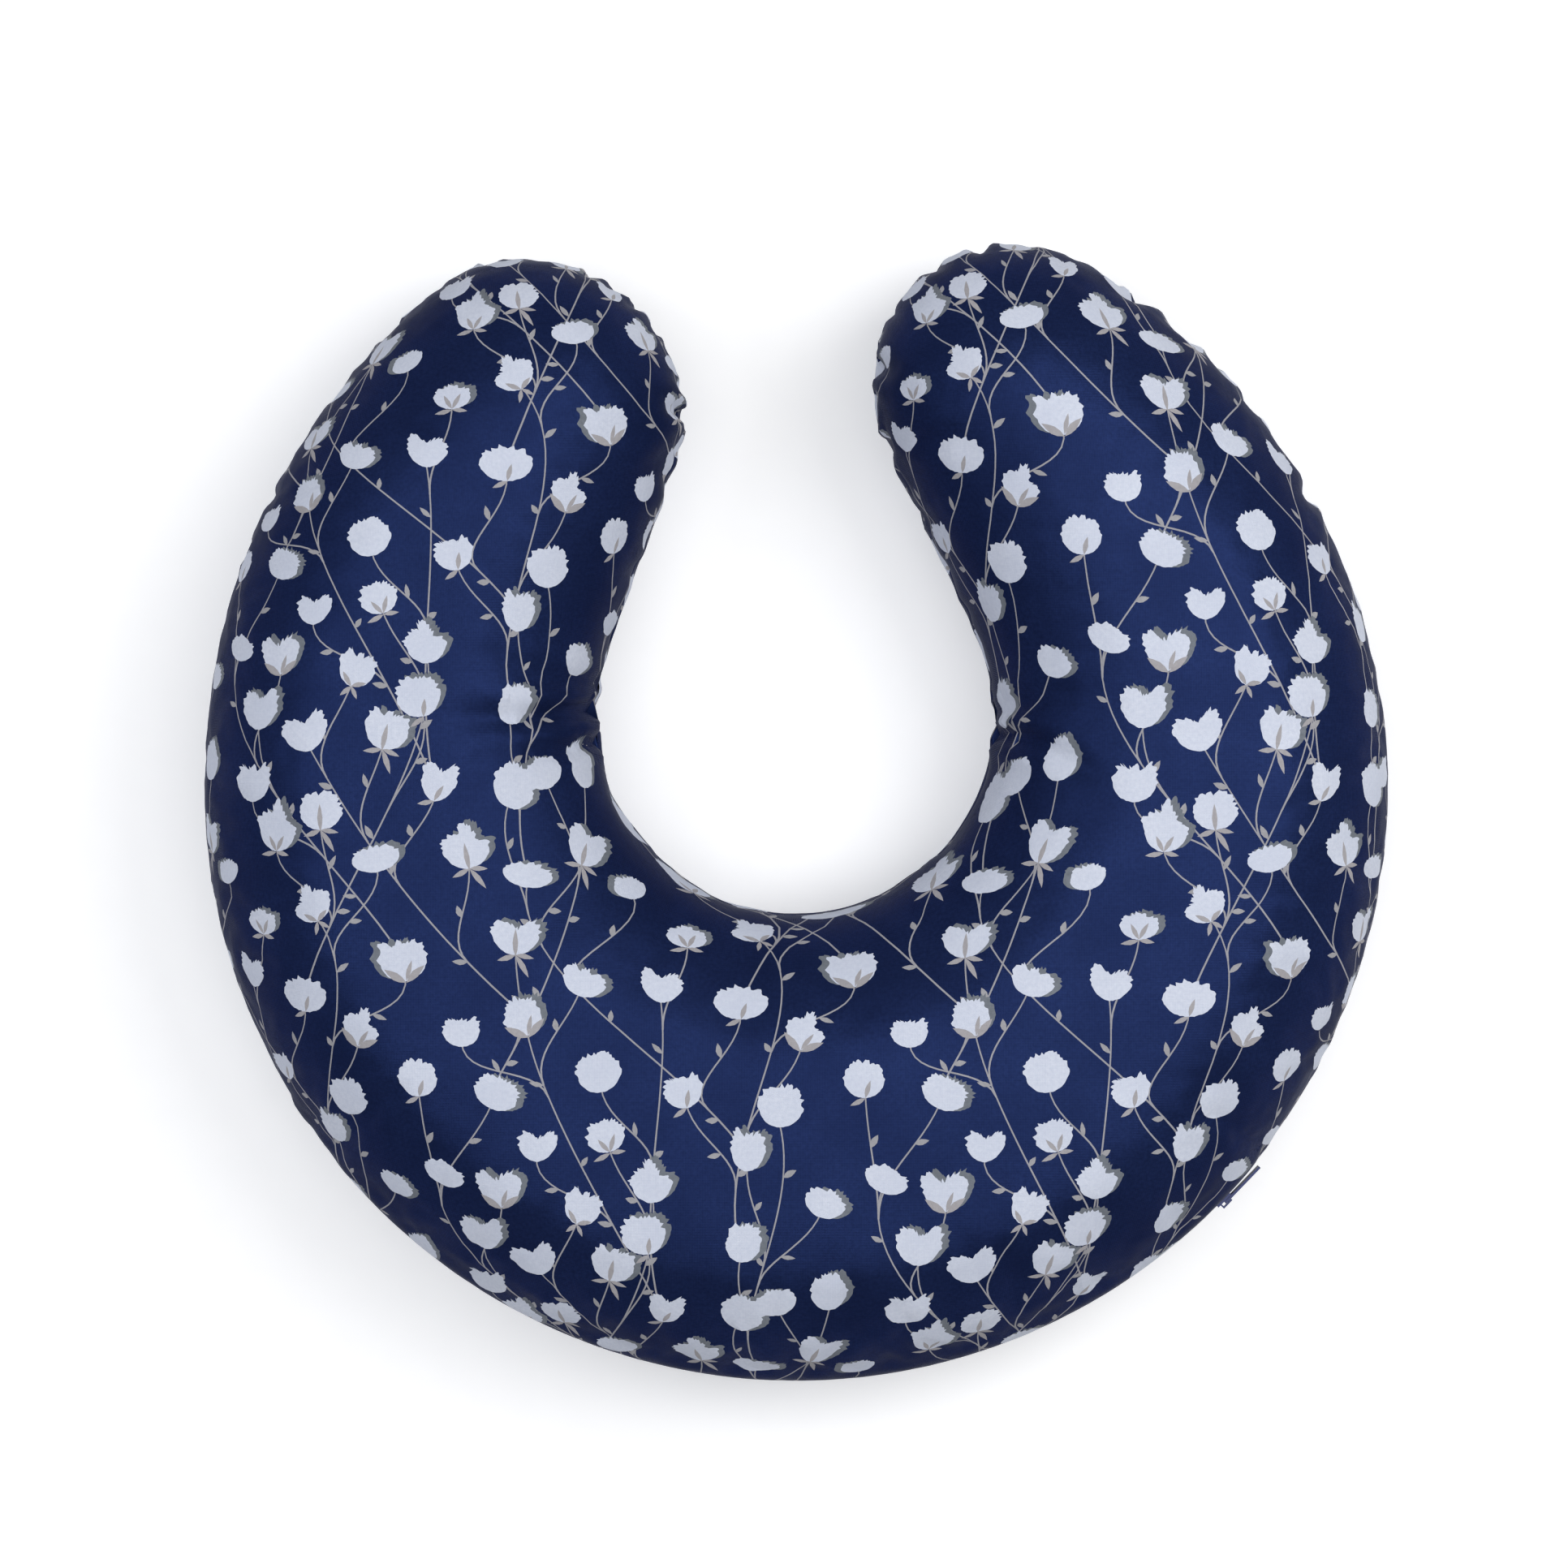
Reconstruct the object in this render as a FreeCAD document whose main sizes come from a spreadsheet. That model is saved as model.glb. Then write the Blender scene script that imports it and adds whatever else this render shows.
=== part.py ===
"""Nursing pillow: a C-shaped cushion in a zipped cotton cover.

The cover and the inner cushion are each two panels of the same C outline.  The panels meet at a seam
that runs round the pillow at half its thickness.  A coil zip sits in that seam along the outer base,
where the outline is one circular arc, so the slider runs on a true circle about a vertical axis.
Units are millimetres, +Z is up, and the origin is under the middle of the pillow, on its underside.
The mouth of the C opens towards +Y.  Every piece is drawn about the centre of the base arc, at the
height of the seam, and is then put in its place.
"""
import FreeCAD, Part
import math
import os
import Sketcher

from FreeCAD import Placement, Rotation, Vector

DRIVING_SIZES = [
    # name of the cell, value in millimetres or degrees, meaning
    ("thickness", 150.0, "height of the stuffed pillow"),
    ("base_radius", 291.0, "outer radius of the base, on the seam"),
    ("arm_flare", 14.0, "how far the centre of each arm's outer arc sits past the middle"),
    ("tip_radius", 72.0, "radius of the rounded end of an arm"),
    ("waist_radius", 98.0, "radius of the hole that goes round the waist"),
    ("waist_shift", 35.6, "waist centre ahead of the base centre, towards the mouth"),
    ("mouth_gap", 95.0, "free width between the two tips"),
    ("edge_round", 62.0, "rounding between the broad faces and the seam band"),
    ("cloth_wall", 0.8, "thickness of the cotton cover"),
    ("liner_wall", 0.6, "thickness of the inner cushion's cloth"),
    ("seam_ease", 6.0, "room between cover and inner cushion along the seam"),
    ("soft_gap", 0.3, "clearance between soft layers"),
    ("thread_gap", 0.1, "clearance under a sewn thread or tape"),
    ("thread_depth", 1.0, "depth of an overlocked seam"),
    ("overlock_width", 3.0, "width of an overlocked seam"),
    ("closing_angle", 16.0, "arc of the inner cushion's hand-sewn opening"),
    ("closing_play", 0.4, "arc by which the hand-sewn thread is shorter than its opening"),
    ("zip_angle", 100.0, "arc that the zip takes up along the base"),
    ("tape_overrun", 1.5, "arc that the tapes run on past each end of the zip"),
    ("zip_slot", 10.0, "height of the gap in the seam that the zip fills"),
    ("tape_width", 12.0, "width of one zip tape"),
    ("tape_wall", 0.6, "thickness of a zip tape"),
    ("coil_gap", 1.2, "gap between the two coils"),
    ("coil_width", 2.0, "width of one coil"),
    ("coil_depth", 1.8, "depth of one coil"),
    ("stop_angle", 0.6, "arc that a zip end stop takes up"),
    ("stop_gap", 0.2, "free arc between a coil and its end stop"),
    ("stop_overhang", 0.4, "how far an end stop reaches past the coil's width"),
    ("sewn_line_gap", 2.0, "distance of the zip's sewn lines from the edge of the slot"),
    ("sewn_line_width", 0.5, "width of a sewn line"),
    ("sewn_line_depth", 0.35, "height of a sewn line above the cloth"),
    ("slider_length", 9.0, "length of the slider along the zip"),
    ("slider_width", 7.6, "width of the slider across the zip"),
    ("slider_plate", 1.0, "thickness of each slider plate"),
    ("slider_gap", 0.3, "running clearance of the slider on coil and tape"),
    ("lip_width", 0.8, "width of the slider's side lips"),
    ("lip_depth", 1.5, "depth of the slider's side lips"),
    ("divider_width", 0.5, "width of the divider between the two coils"),
    ("divider_length", 2.4, "length of the divider along the zip"),
    ("slider_rest", 4.0, "arc from each end of the zip to the slider's middle when it stops there"),
    ("bridge_length", 6.0, "length of the bridge that holds the pull tab"),
    ("bridge_width", 1.8, "width of that bridge across the zip"),
    ("bridge_wall", 0.8, "thickness of that bridge"),
    ("bridge_rise", 2.0, "free height under the bridge"),
    ("pull_wall", 1.2, "thickness of the pull tab and of its bar under the bridge"),
    ("pull_width", 5.6, "width of the pull tab"),
    ("pull_length", 24.0, "length of the pull tab from its bar to its end"),
    ("pull_window", 6.0, "length of the window that clears the bridge"),
    ("pull_rail", 1.1, "width of the two rails beside the window"),
    ("label_angle", 8.0, "arc that the blank label takes up along the seam"),
    ("label_drop", 14.0, "height of the blank label"),
    ("label_wall", 0.4, "thickness of the folded label"),
    ("label_bearing", -65.0, "turn of the label from the middle of the base"),
]

SHEET = "sizes"
UP = Vector(0, 0, 1)
NO_INSET = "0"
START, END, MIDDLE = 1, 2, 3
ORIGIN_POINT = (-1, 1)
VERTICAL_AXIS = -2
TOUCHING = 1e-6

doc = FreeCAD.newDocument("nursing_pillow")


def make_sheet():
    """Write the driving sizes, each with its meaning beside it."""
    sheet = doc.addObject("Spreadsheet::Sheet", SHEET)
    for row, (alias, value, meaning) in enumerate(DRIVING_SIZES, start=1):
        sheet.set(f"A{row}", meaning)
        sheet.set(f"B{row}", str(value))
        sheet.setAlias(f"B{row}", alias)
    doc.recompute()
    return sheet


sizes = make_sheet()


def size(alias):
    """Read one driving size from the sheet."""
    return float(getattr(sizes, alias))


def formula(words):
    """Expression for a sum of cells, written as plain words with + - * / between them."""
    names = {alias for alias, value, meaning in DRIVING_SIZES}
    marked = words.replace("(", " ( ").replace(")", " ) ").split()
    return " ".join(f"{SHEET}.{word}" if word in names else word for word in marked)


def worked_out(words):
    """Value of such a sum of cells, for places that a property can't be bound to."""
    return float(sizes.evalExpression(formula(words)))


def bind(item, prop, words):
    """Tie one size of an object to the sheet."""
    item.setExpression(prop, formula(words))


# ---------------------------------------------------------------- places that several pieces share

COVER_FACE = "base_radius"
TAPE_FACE = "base_radius - cloth_wall - thread_gap"
COIL_FACE = f"{TAPE_FACE} + coil_depth"
SLIDER_FRONT = f"{COIL_FACE} + slider_gap"
SLIDER_FACE = f"{SLIDER_FRONT} + slider_plate"
SLIDER_BACK = f"{TAPE_FACE} - tape_wall - slider_gap"
CUSHION_INSET = "cloth_wall + seam_ease"
CUSHION_DROP = "cloth_wall + soft_gap"
FILLING_INSET = f"{CUSHION_INSET} + liner_wall + soft_gap"
FILLING_DROP = f"{CUSHION_DROP} + liner_wall + soft_gap"


def direction(bearing):
    """Unit vector in the ground plane at an angle in radians from +X."""
    return Vector(math.cos(bearing), math.sin(bearing), 0)


def tip_bearing():
    """Direction, in radians, from the centre of an arm's outer arc to the centre of its tip."""
    tip_x = size("mouth_gap") / 2 + size("tip_radius")
    reach = size("base_radius") + size("arm_flare") - size("tip_radius")
    return math.acos((tip_x + size("arm_flare")) / reach)


def base_centre():
    """Centre of the base arc at the seam's height, with the origin halfway from zip to tips."""
    reach = size("base_radius") + size("arm_flare") - size("tip_radius")
    length_ahead = reach * math.sin(tip_bearing()) + size("tip_radius")
    length_behind = worked_out(COIL_FACE)
    return Vector(0, (length_behind - length_ahead) / 2, size("thickness") / 2)


CENTRE = base_centre()
SLIDER_BEARING = worked_out("zip_angle / 2 - slider_rest")


# ---------------------------------------------------------------- the C outline

def mirrored(point):
    """The same point on the left arm."""
    return Vector(-point.x, point.y, point.z)


def outline_geometry(inset):
    """The eight arcs and lines of the C outline about the base centre, moved inwards."""
    base_radius = size("base_radius") - inset
    arm_radius = base_radius + size("arm_flare")
    tip_radius = size("tip_radius") - inset
    waist_radius = size("waist_radius") + inset
    arm_centre = Vector(-size("arm_flare"), 0, 0)
    tip_centre = arm_centre + direction(tip_bearing()) * (arm_radius - tip_radius)
    waist_centre = Vector(0, size("waist_shift"), 0)

    between = tip_centre - waist_centre
    lean = math.acos((waist_radius + tip_radius) / between.Length)
    flank = math.atan2(between.y, between.x) - lean
    tip_middle = (tip_bearing() + math.pi + flank) / 2

    side = Vector(base_radius, 0, 0)
    arm_end = arm_centre + direction(tip_bearing()) * arm_radius
    tip_end = tip_centre - direction(flank) * tip_radius
    waist_start = waist_centre + direction(flank) * waist_radius
    arm_via = arm_centre + direction(tip_bearing() / 2) * arm_radius
    tip_via = tip_centre + direction(tip_middle) * tip_radius
    base_via = Vector(0, -base_radius, 0)
    waist_via = waist_centre - Vector(0, waist_radius, 0)
    return [
        Part.Arc(mirrored(side), base_via, side),
        Part.Arc(side, arm_via, arm_end),
        Part.Arc(arm_end, tip_via, tip_end),
        Part.LineSegment(tip_end, waist_start),
        Part.Arc(waist_start, waist_via, mirrored(waist_start)),
        Part.LineSegment(mirrored(waist_start), mirrored(tip_end)),
        Part.Arc(mirrored(tip_end), mirrored(tip_via), mirrored(arm_end)),
        Part.Arc(mirrored(arm_end), mirrored(arm_via), mirrored(side)),
    ]


def sketch_on(body, role, name):
    """A sketch on one of a body's own origin planes."""
    sketch = body.newObject("Sketcher::SketchObject", name)
    plane = [item for item in body.Origin.OriginFeatures if item.Role == role][0]
    sketch.AttachmentSupport = [(plane, "")]
    sketch.MapMode = "FlatFace"
    return sketch


def dimension(sketch, name, kind, places, words):
    """Add a named dimension to a sketch and tie it to the sheet."""
    index = sketch.addConstraint(Sketcher.Constraint(kind, *places, worked_out(words)))
    sketch.renameConstraint(index, name)
    bind(sketch, f"Constraints.{name}", words)


def touching_ends(sketch, first, second):
    """The ends at which two neighbouring edges of a sketch meet."""
    pairs = [(mine, theirs) for mine in (START, END) for theirs in (START, END)]
    for mine, theirs in pairs:
        if (sketch.getPoint(first, mine) - sketch.getPoint(second, theirs)).Length < TOUCHING:
            return mine, theirs
    raise ValueError("the outline is not closed")


def outline_sketch(body, name, inset):
    """The C outline as a fully constrained sketch, moved inwards by a sum of cells."""
    sketch = sketch_on(body, "XY_Plane", name)
    edges = sketch.addGeometry(outline_geometry(worked_out(inset)), False)
    base, right_arm, right_tip, right_flank, waist, left_flank, left_tip, left_arm = edges
    for first, second in zip(edges, edges[1:] + edges[:1]):
        mine, theirs = touching_ends(sketch, first, second)
        sketch.addConstraint(Sketcher.Constraint("Tangent", first, mine, second, theirs))

    sketch.addConstraint(Sketcher.Constraint("Coincident", base, MIDDLE, *ORIGIN_POINT))
    sketch.addConstraint(Sketcher.Constraint("Horizontal", right_arm, MIDDLE, base, MIDDLE))
    sketch.addConstraint(Sketcher.Constraint("Horizontal", base, MIDDLE, left_arm, MIDDLE))
    sketch.addConstraint(Sketcher.Constraint("PointOnObject", waist, MIDDLE, VERTICAL_AXIS))
    sketch.addConstraint(Sketcher.Constraint("Equal", right_tip, left_tip))
    tip_x = "mouth_gap / 2 + tip_radius"
    dimension(sketch, "base_radius", "Radius", (base,), f"base_radius - ( {inset} )")
    dimension(sketch, "tip_radius", "Radius", (right_tip,), f"tip_radius - ( {inset} )")
    dimension(sketch, "waist_radius", "Radius", (waist,), f"waist_radius + {inset}")
    dimension(sketch, "waist_shift", "DistanceY", (base, MIDDLE, waist, MIDDLE), "waist_shift")
    dimension(sketch, "right_flare", "DistanceX", (right_arm, MIDDLE, *ORIGIN_POINT), "arm_flare")
    dimension(sketch, "left_flare", "DistanceX", (*ORIGIN_POINT, left_arm, MIDDLE), "arm_flare")
    dimension(sketch, "right_reach", "DistanceX", (*ORIGIN_POINT, right_tip, MIDDLE), tip_x)
    dimension(sketch, "left_reach", "DistanceX", (left_tip, MIDDLE, *ORIGIN_POINT), tip_x)
    return sketch


# ---------------------------------------------------------------- ways of making a piece

def new_body(label, turn=0.0):
    """An empty body for one piece, placed on the base centre and turned about it."""
    body = doc.addObject("PartDesign::Body", label)
    body.Placement = Placement(CENTRE, Rotation(UP, turn))
    return body


def padded(body, sketch, length):
    """Extrude a sketch by a sum of cells."""
    pad = body.newObject("PartDesign::Pad", f"{body.Name}_pad")
    pad.Profile = sketch
    bind(pad, "Length", length)
    return pad


def flat_edges(shape, level):
    """Names of the edges that lie wholly at one height."""
    edges = enumerate(shape.Edges, start=1)
    return [f"Edge{i}" for i, edge in edges if all(abs(v.Z - level) < TOUCHING for v in edge.Vertexes)]


def flat_faces(shape, level):
    """Names of the flat faces that lie at one height."""
    faces = enumerate(shape.Faces, start=1)
    return [f"Face{i}" for i, face in faces if all(abs(v.Z - level) < TOUCHING for v in face.Vertexes)]


def rounded(body, feature, levels, radius):
    """Round the edges at the given heights."""
    fillet = body.newObject("PartDesign::Fillet", f"{body.Name}_round")
    names = [name for level in levels for name in flat_edges(feature.Shape, level)]
    fillet.Base = (feature, names)
    bind(fillet, "Radius", radius)
    doc.recompute()
    return fillet


def half_shell(label, side, inset, drop, wall):
    """One sewn panel of a stuffed cushion: side is 1 for the upper panel and -1 for the lower."""
    body = new_body(label)
    pad = padded(body, outline_sketch(body, f"{label}_outline", inset), f"thickness / 2 - ( {drop} )")
    pad.Reversed = side < 0
    doc.recompute()
    level = side * worked_out(f"thickness / 2 - ( {drop} )")
    fillet = rounded(body, pad, [level], f"edge_round - ( {inset} )")
    shell = body.newObject("PartDesign::Thickness", f"{label}_wall")
    shell.Base = (fillet, flat_faces(fillet.Shape, 0.0))
    shell.Reversed = True
    bind(shell, "Value", wall)
    doc.recompute()
    return body


def section_sketch(body, name, inner, outer, low, high):
    """A rectangle across the base seam: inner and outer radius, lowest and highest side."""
    sketch = sketch_on(body, "YZ_Plane", name)
    near, far = -worked_out(inner), -worked_out(outer)
    bottom, top = worked_out(low), worked_out(high)
    corners = [Vector(far, bottom, 0), Vector(near, bottom, 0), Vector(near, top, 0), Vector(far, top, 0)]
    sides = [Part.LineSegment(a, b) for a, b in zip(corners, corners[1:] + corners[:1])]
    lower, inside, upper, outside = sketch.addGeometry(sides, False)
    loop = (lower, inside, upper, outside)
    for first, second in zip(loop, loop[1:] + loop[:1]):
        sketch.addConstraint(Sketcher.Constraint("Coincident", first, END, second, START))
    for edge in (lower, upper):
        sketch.addConstraint(Sketcher.Constraint("Horizontal", edge))
    for edge in (inside, outside):
        sketch.addConstraint(Sketcher.Constraint("Vertical", edge))
    dimension(sketch, "outer_radius", "DistanceX", (lower, START, *ORIGIN_POINT), outer)
    dimension(sketch, "depth", "DistanceX", (lower, START, lower, END), f"{outer} - ( {inner} )")
    dimension(sketch, "rise", "DistanceY", (inside, START, inside, END), f"{high} - ( {low} )")
    dimension(sketch, "level", "DistanceY", (*ORIGIN_POINT, lower, START), low)
    return sketch


def turned(body, kind, sketch, angle):
    """Sweep a section about the base centre, half to each side of the middle of the base."""
    feature = body.newObject(f"PartDesign::{kind}", f"{sketch.Name}_{kind.lower()}")
    feature.Profile = sketch
    feature.ReferenceAxis = (sketch, ["V_Axis"])
    feature.Midplane = True
    bind(feature, "Angle", angle)
    doc.recompute()
    return feature


def arc_piece(label, inner, outer, low, high, angle, turn=0.0):
    """One piece of constant section that follows the base seam."""
    body = new_body(label, turn)
    sketch = section_sketch(body, f"{label}_section", inner, outer, low, high)
    turned(body, "Revolution", sketch, angle)
    return body


def seam_ring(label, inset, angle):
    """An overlocked seam just inside an outline, left open over an arc of the base."""
    body = new_body(label)
    pad = padded(body, outline_sketch(body, f"{label}_outside", inset), "overlock_width")
    pad.Midplane = True
    pocket = body.newObject("PartDesign::Pocket", f"{label}_pocket")
    pocket.Profile = outline_sketch(body, f"{label}_inside", f"{inset} + thread_depth")
    pocket.Midplane = True
    bind(pocket, "Length", "overlock_width * 2")
    doc.recompute()
    before = pocket.Shape.Volume
    rim = f"base_radius - ( {inset} )"
    cut = section_sketch(body, f"{label}_opening", f"{rim} - thread_depth * 2", f"{rim} + thread_depth",
                         "0 - overlock_width", "overlock_width")
    turned(body, "Groove", cut, angle)
    if body.Shape.Volume >= before:
        raise ValueError(f"{label} has no opening")
    return body


def block(name, length, width, height, x, y, z):
    """A box with its middle at x and z and its inner face at radius y, on the middle of the base."""
    box = doc.addObject("Part::Box", name)
    bind(box, "Length", length)
    bind(box, "Width", width)
    bind(box, "Height", height)
    bind(box, "Placement.Base.x", f"{x} - ( {length} ) / 2")
    bind(box, "Placement.Base.y", f"0 - ( {y} ) - ( {width} )")
    bind(box, "Placement.Base.z", f"{z} - ( {height} ) / 2")
    return box


def joined(label, pieces, turn):
    """Fuse blocks into one piece and put it on the base seam at a bearing."""
    fuse = doc.addObject("Part::MultiFuse", label)
    fuse.Shapes = pieces
    fuse.Placement = Placement(CENTRE, Rotation(UP, turn))
    doc.recompute()
    return fuse


# ---------------------------------------------------------------- cotton cover

def cover_panel(label, side):
    """One panel of the cover, with half of the zip's slot along its base edge."""
    body = half_shell(label, side, NO_INSET, NO_INSET, "cloth_wall")
    before = body.Shape.Volume
    slot = section_sketch(body, f"{label}_slot", f"{COVER_FACE} - cloth_wall * 2",
                          f"{COVER_FACE} + cloth_wall", "0 - zip_slot / 2", "zip_slot / 2")
    turned(body, "Groove", slot, "zip_angle")
    if body.Shape.Volume >= before:
        raise ValueError(f"{label} has no slot for the zip")
    return body


def cover_seam():
    """Overlocked seam that joins the cover's panels, from one end of the zip round to the other."""
    return seam_ring("cover_seam_thread", "cloth_wall + thread_gap", "zip_angle + tape_overrun * 4")


# ---------------------------------------------------------------- zip

def zip_tape(label, side):
    """One woven tape behind the slot; side is 1 above the seam and -1 below."""
    low, high = "coil_gap / 2", "coil_gap / 2 + tape_width"
    if side < 0:
        low, high = "0 - coil_gap / 2 - tape_width", "0 - coil_gap / 2"
    return arc_piece(label, f"{TAPE_FACE} - tape_wall", TAPE_FACE, low, high, "zip_angle + tape_overrun * 2")


def zip_coil(label, side):
    """One nylon coil on the edge of its tape."""
    low, high = "coil_gap / 2", "coil_gap / 2 + coil_width"
    if side < 0:
        low, high = "0 - coil_gap / 2 - coil_width", "0 - coil_gap / 2"
    angle = "zip_angle - ( stop_angle + stop_gap ) * 2"
    return arc_piece(label, TAPE_FACE, COIL_FACE, low, high, angle)


def mirrored_pair(label, body):
    """A piece and its copy below the seam, as one node of two solids."""
    copy = doc.addObject("Part::Mirroring", f"{label}_lower")
    copy.Source = body
    copy.Base = CENTRE
    copy.Normal = UP
    pair = doc.addObject("Part::Compound", label)
    pair.Links = [body, copy]
    doc.recompute()
    return pair


def zip_stitching():
    """The two sewn lines that hold the tapes to the cover's panels."""
    low = "zip_slot / 2 + sewn_line_gap"
    line = arc_piece("sewn_line", COVER_FACE, f"{COVER_FACE} + sewn_line_depth", low,
                     f"{low} + sewn_line_width", "zip_angle")
    return mirrored_pair("zip_stitching", line)


def zip_top_stops():
    """The two small stops at the closed end, one on each tape."""
    turn = worked_out("zip_angle / 2 - stop_angle / 2")
    stop = arc_piece("top_stop", TAPE_FACE, COIL_FACE, "coil_gap / 2",
                     "coil_gap / 2 + coil_width + stop_overhang", "stop_angle", turn)
    return mirrored_pair("zip_top_stops", stop)


def zip_bottom_stop():
    """The stop across both tapes at the open end."""
    turn = -worked_out("zip_angle / 2 - stop_angle / 2")
    reach = "coil_gap / 2 + coil_width + stop_overhang"
    return arc_piece("zip_bottom_stop", TAPE_FACE, COIL_FACE, f"0 - ( {reach} )", reach, "stop_angle", turn)


def zip_slider():
    """Two plates joined by the divider between the coils, with side lips and a bridge on the front."""
    front = block("slider_front", "slider_length", "slider_plate", "slider_width", "0", SLIDER_FRONT, "0")
    back = block("slider_back", "slider_length", "slider_plate", "slider_width", "0",
                 f"{SLIDER_BACK} - slider_plate", "0")
    divider = block("slider_divider", "divider_length", f"{SLIDER_FRONT} - ( {SLIDER_BACK} )",
                    "divider_width", "0", SLIDER_BACK, "0")
    lip_place = "slider_width / 2 - lip_width / 2"
    lips = [
        block(f"slider_lip_{name}", "slider_length", "lip_depth", "lip_width", "0",
              f"{SLIDER_FRONT} - lip_depth", f"{sign} * ( {lip_place} )")
        for name, sign in (("upper", "1"), ("lower", "-1"))
    ]
    leg_place = "bridge_length / 2 - bridge_wall / 2"
    legs = [
        block(f"bridge_leg_{name}", "bridge_wall", "bridge_rise", "bridge_width",
              f"{sign} * ( {leg_place} )", SLIDER_FACE, "0")
        for name, sign in (("ahead", "1"), ("behind", "-1"))
    ]
    roof = block("bridge_roof", "bridge_length", "bridge_wall", "bridge_width", "0",
                 f"{SLIDER_FACE} + bridge_rise", "0")
    return joined("zip_slider", [front, back, divider, roof] + lips + legs, SLIDER_BEARING)


def zip_pull_tab():
    """A flat tab whose bar turns under the slider's bridge."""
    axis = f"{SLIDER_FACE} + slider_gap + pull_wall / 2"
    bar = doc.addObject("Part::Cylinder", "pull_bar")
    bind(bar, "Radius", "pull_wall / 2")
    bind(bar, "Height", "pull_width")
    bind(bar, "Placement.Base.y", f"0 - ( {axis} )")
    bind(bar, "Placement.Base.z", "0 - pull_width / 2")
    inner = f"{SLIDER_FACE} + slider_gap"
    rail_place = "pull_width / 2 - pull_rail / 2"
    rails = [
        block(f"pull_rail_{name}", "pull_window", "pull_wall", "pull_rail", "pull_window / 2", inner,
              f"{sign} * ( {rail_place} )")
        for name, sign in (("upper", "1"), ("lower", "-1"))
    ]
    plate = block("pull_plate", "pull_length - pull_window", "pull_wall", "pull_width",
                  "( pull_length + pull_window ) / 2", inner, "0")
    return joined("zip_pull_tab", [bar, plate] + rails, SLIDER_BEARING)


# ---------------------------------------------------------------- inner cushion

def cushion_panel(label, side):
    """One panel of the plain inner cushion."""
    return half_shell(label, side, CUSHION_INSET, CUSHION_DROP, "liner_wall")


def cushion_seam():
    """Overlocked seam round the inner cushion, left open where it was stuffed."""
    return seam_ring("cushion_seam_thread", "cloth_wall + seam_ease - thread_gap - thread_depth",
                     "closing_angle")


def cushion_closing_stitch():
    """Hand-sewn thread that closes the opening in the inner cushion's seam."""
    outer = f"base_radius - ( {CUSHION_INSET} ) + thread_gap + thread_depth"
    return arc_piece("cushion_closing_stitch", f"{outer} - thread_depth", outer, "0 - overlock_width / 2",
                     "overlock_width / 2", "closing_angle - closing_play")


def cushion_label():
    """Blank folded label that hangs from the inner cushion's seam."""
    inner = f"base_radius - ( {CUSHION_INSET} ) + thread_gap * 2 + thread_depth"
    return arc_piece("cushion_label", inner, f"{inner} + label_wall", "0 - label_drop", "overlock_width / 2",
                     "label_angle", size("label_bearing"))


def fibre_filling():
    """The loose fibre filling, as one closed body that the inner cushion holds."""
    body = new_body("fibre_filling")
    outline = outline_sketch(body, "filling_outline", FILLING_INSET)
    pad = padded(body, outline, f"thickness - ( {FILLING_DROP} ) * 2")
    pad.Midplane = True
    doc.recompute()
    level = worked_out(f"thickness / 2 - ( {FILLING_DROP} )")
    rounded(body, pad, [level, -level], f"edge_round - ( {FILLING_INSET} )")
    return body


# ---------------------------------------------------------------- assembly

PIECES = {
    "cover_top_panel": cover_panel("cover_top_panel", 1),
    "cover_bottom_panel": cover_panel("cover_bottom_panel", -1),
    "cover_seam_thread": cover_seam(),
    "zip_tape_upper": zip_tape("zip_tape_upper", 1),
    "zip_tape_lower": zip_tape("zip_tape_lower", -1),
    "zip_coil_upper": zip_coil("zip_coil_upper", 1),
    "zip_coil_lower": zip_coil("zip_coil_lower", -1),
    "zip_stitching": zip_stitching(),
    "zip_top_stops": zip_top_stops(),
    "zip_bottom_stop": zip_bottom_stop(),
    "zip_slider": zip_slider(),
    "zip_pull_tab": zip_pull_tab(),
    "cushion_top_panel": cushion_panel("cushion_top_panel", 1),
    "cushion_bottom_panel": cushion_panel("cushion_bottom_panel", -1),
    "cushion_seam_thread": cushion_seam(),
    "cushion_closing_stitch": cushion_closing_stitch(),
    "cushion_label": cushion_label(),
    "fibre_filling": fibre_filling(),
}


def check_document():
    """Stop before anything is written if an object failed or a piece is not a sound solid."""
    doc.recompute()
    for item in doc.Objects:
        if "Invalid" in item.State or "Error" in item.State:
            raise ValueError(f"{item.Name} failed: {item.State}")
    for label, piece in PIECES.items():
        if piece.Shape.isNull() or not piece.Shape.isValid() or not piece.Shape.Solids:
            raise ValueError(f"{label} is not a valid solid")


def write_parts():
    """Write each piece to its own file, named after its label."""
    os.makedirs("parts", exist_ok=True)
    for label, piece in PIECES.items():
        piece.Label = label
        piece.Shape.exportStep(f"parts/{piece.Label}.step")
        print(f"{label:24s} solids {len(piece.Shape.Solids)}  volume {piece.Shape.Volume:12.1f} mm3")


check_document()
write_parts()
axis_offset = worked_out(f"{SLIDER_FACE} + slider_gap + pull_wall / 2")
pull_axis = CENTRE + direction(math.radians(SLIDER_BEARING - 90)) * axis_offset
print(f"slider turns about x 0, y {CENTRE.y:.4f} mm; pull tab about x {pull_axis.x:.4f}, y {pull_axis.y:.4f} mm")
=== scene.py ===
# %% [markdown]
# # A nursing pillow, dressed in cloth
#
# The pillow is a C-shaped cushion in a cotton cover that zips off along its outer base. Its design, with
# every piece and the zip's travel, is a CAD model. This lesson keeps that model as the frame and makes
# what a rigid model can't: two printed cotton panels that are sewn together and stuffed.

# %% Load the frame
import math
import random

import bpy
import numpy as np
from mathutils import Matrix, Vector
from mathutils.bvhtree import BVHTree
from mathutils.geometry import delaunay_2d_cdt


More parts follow.
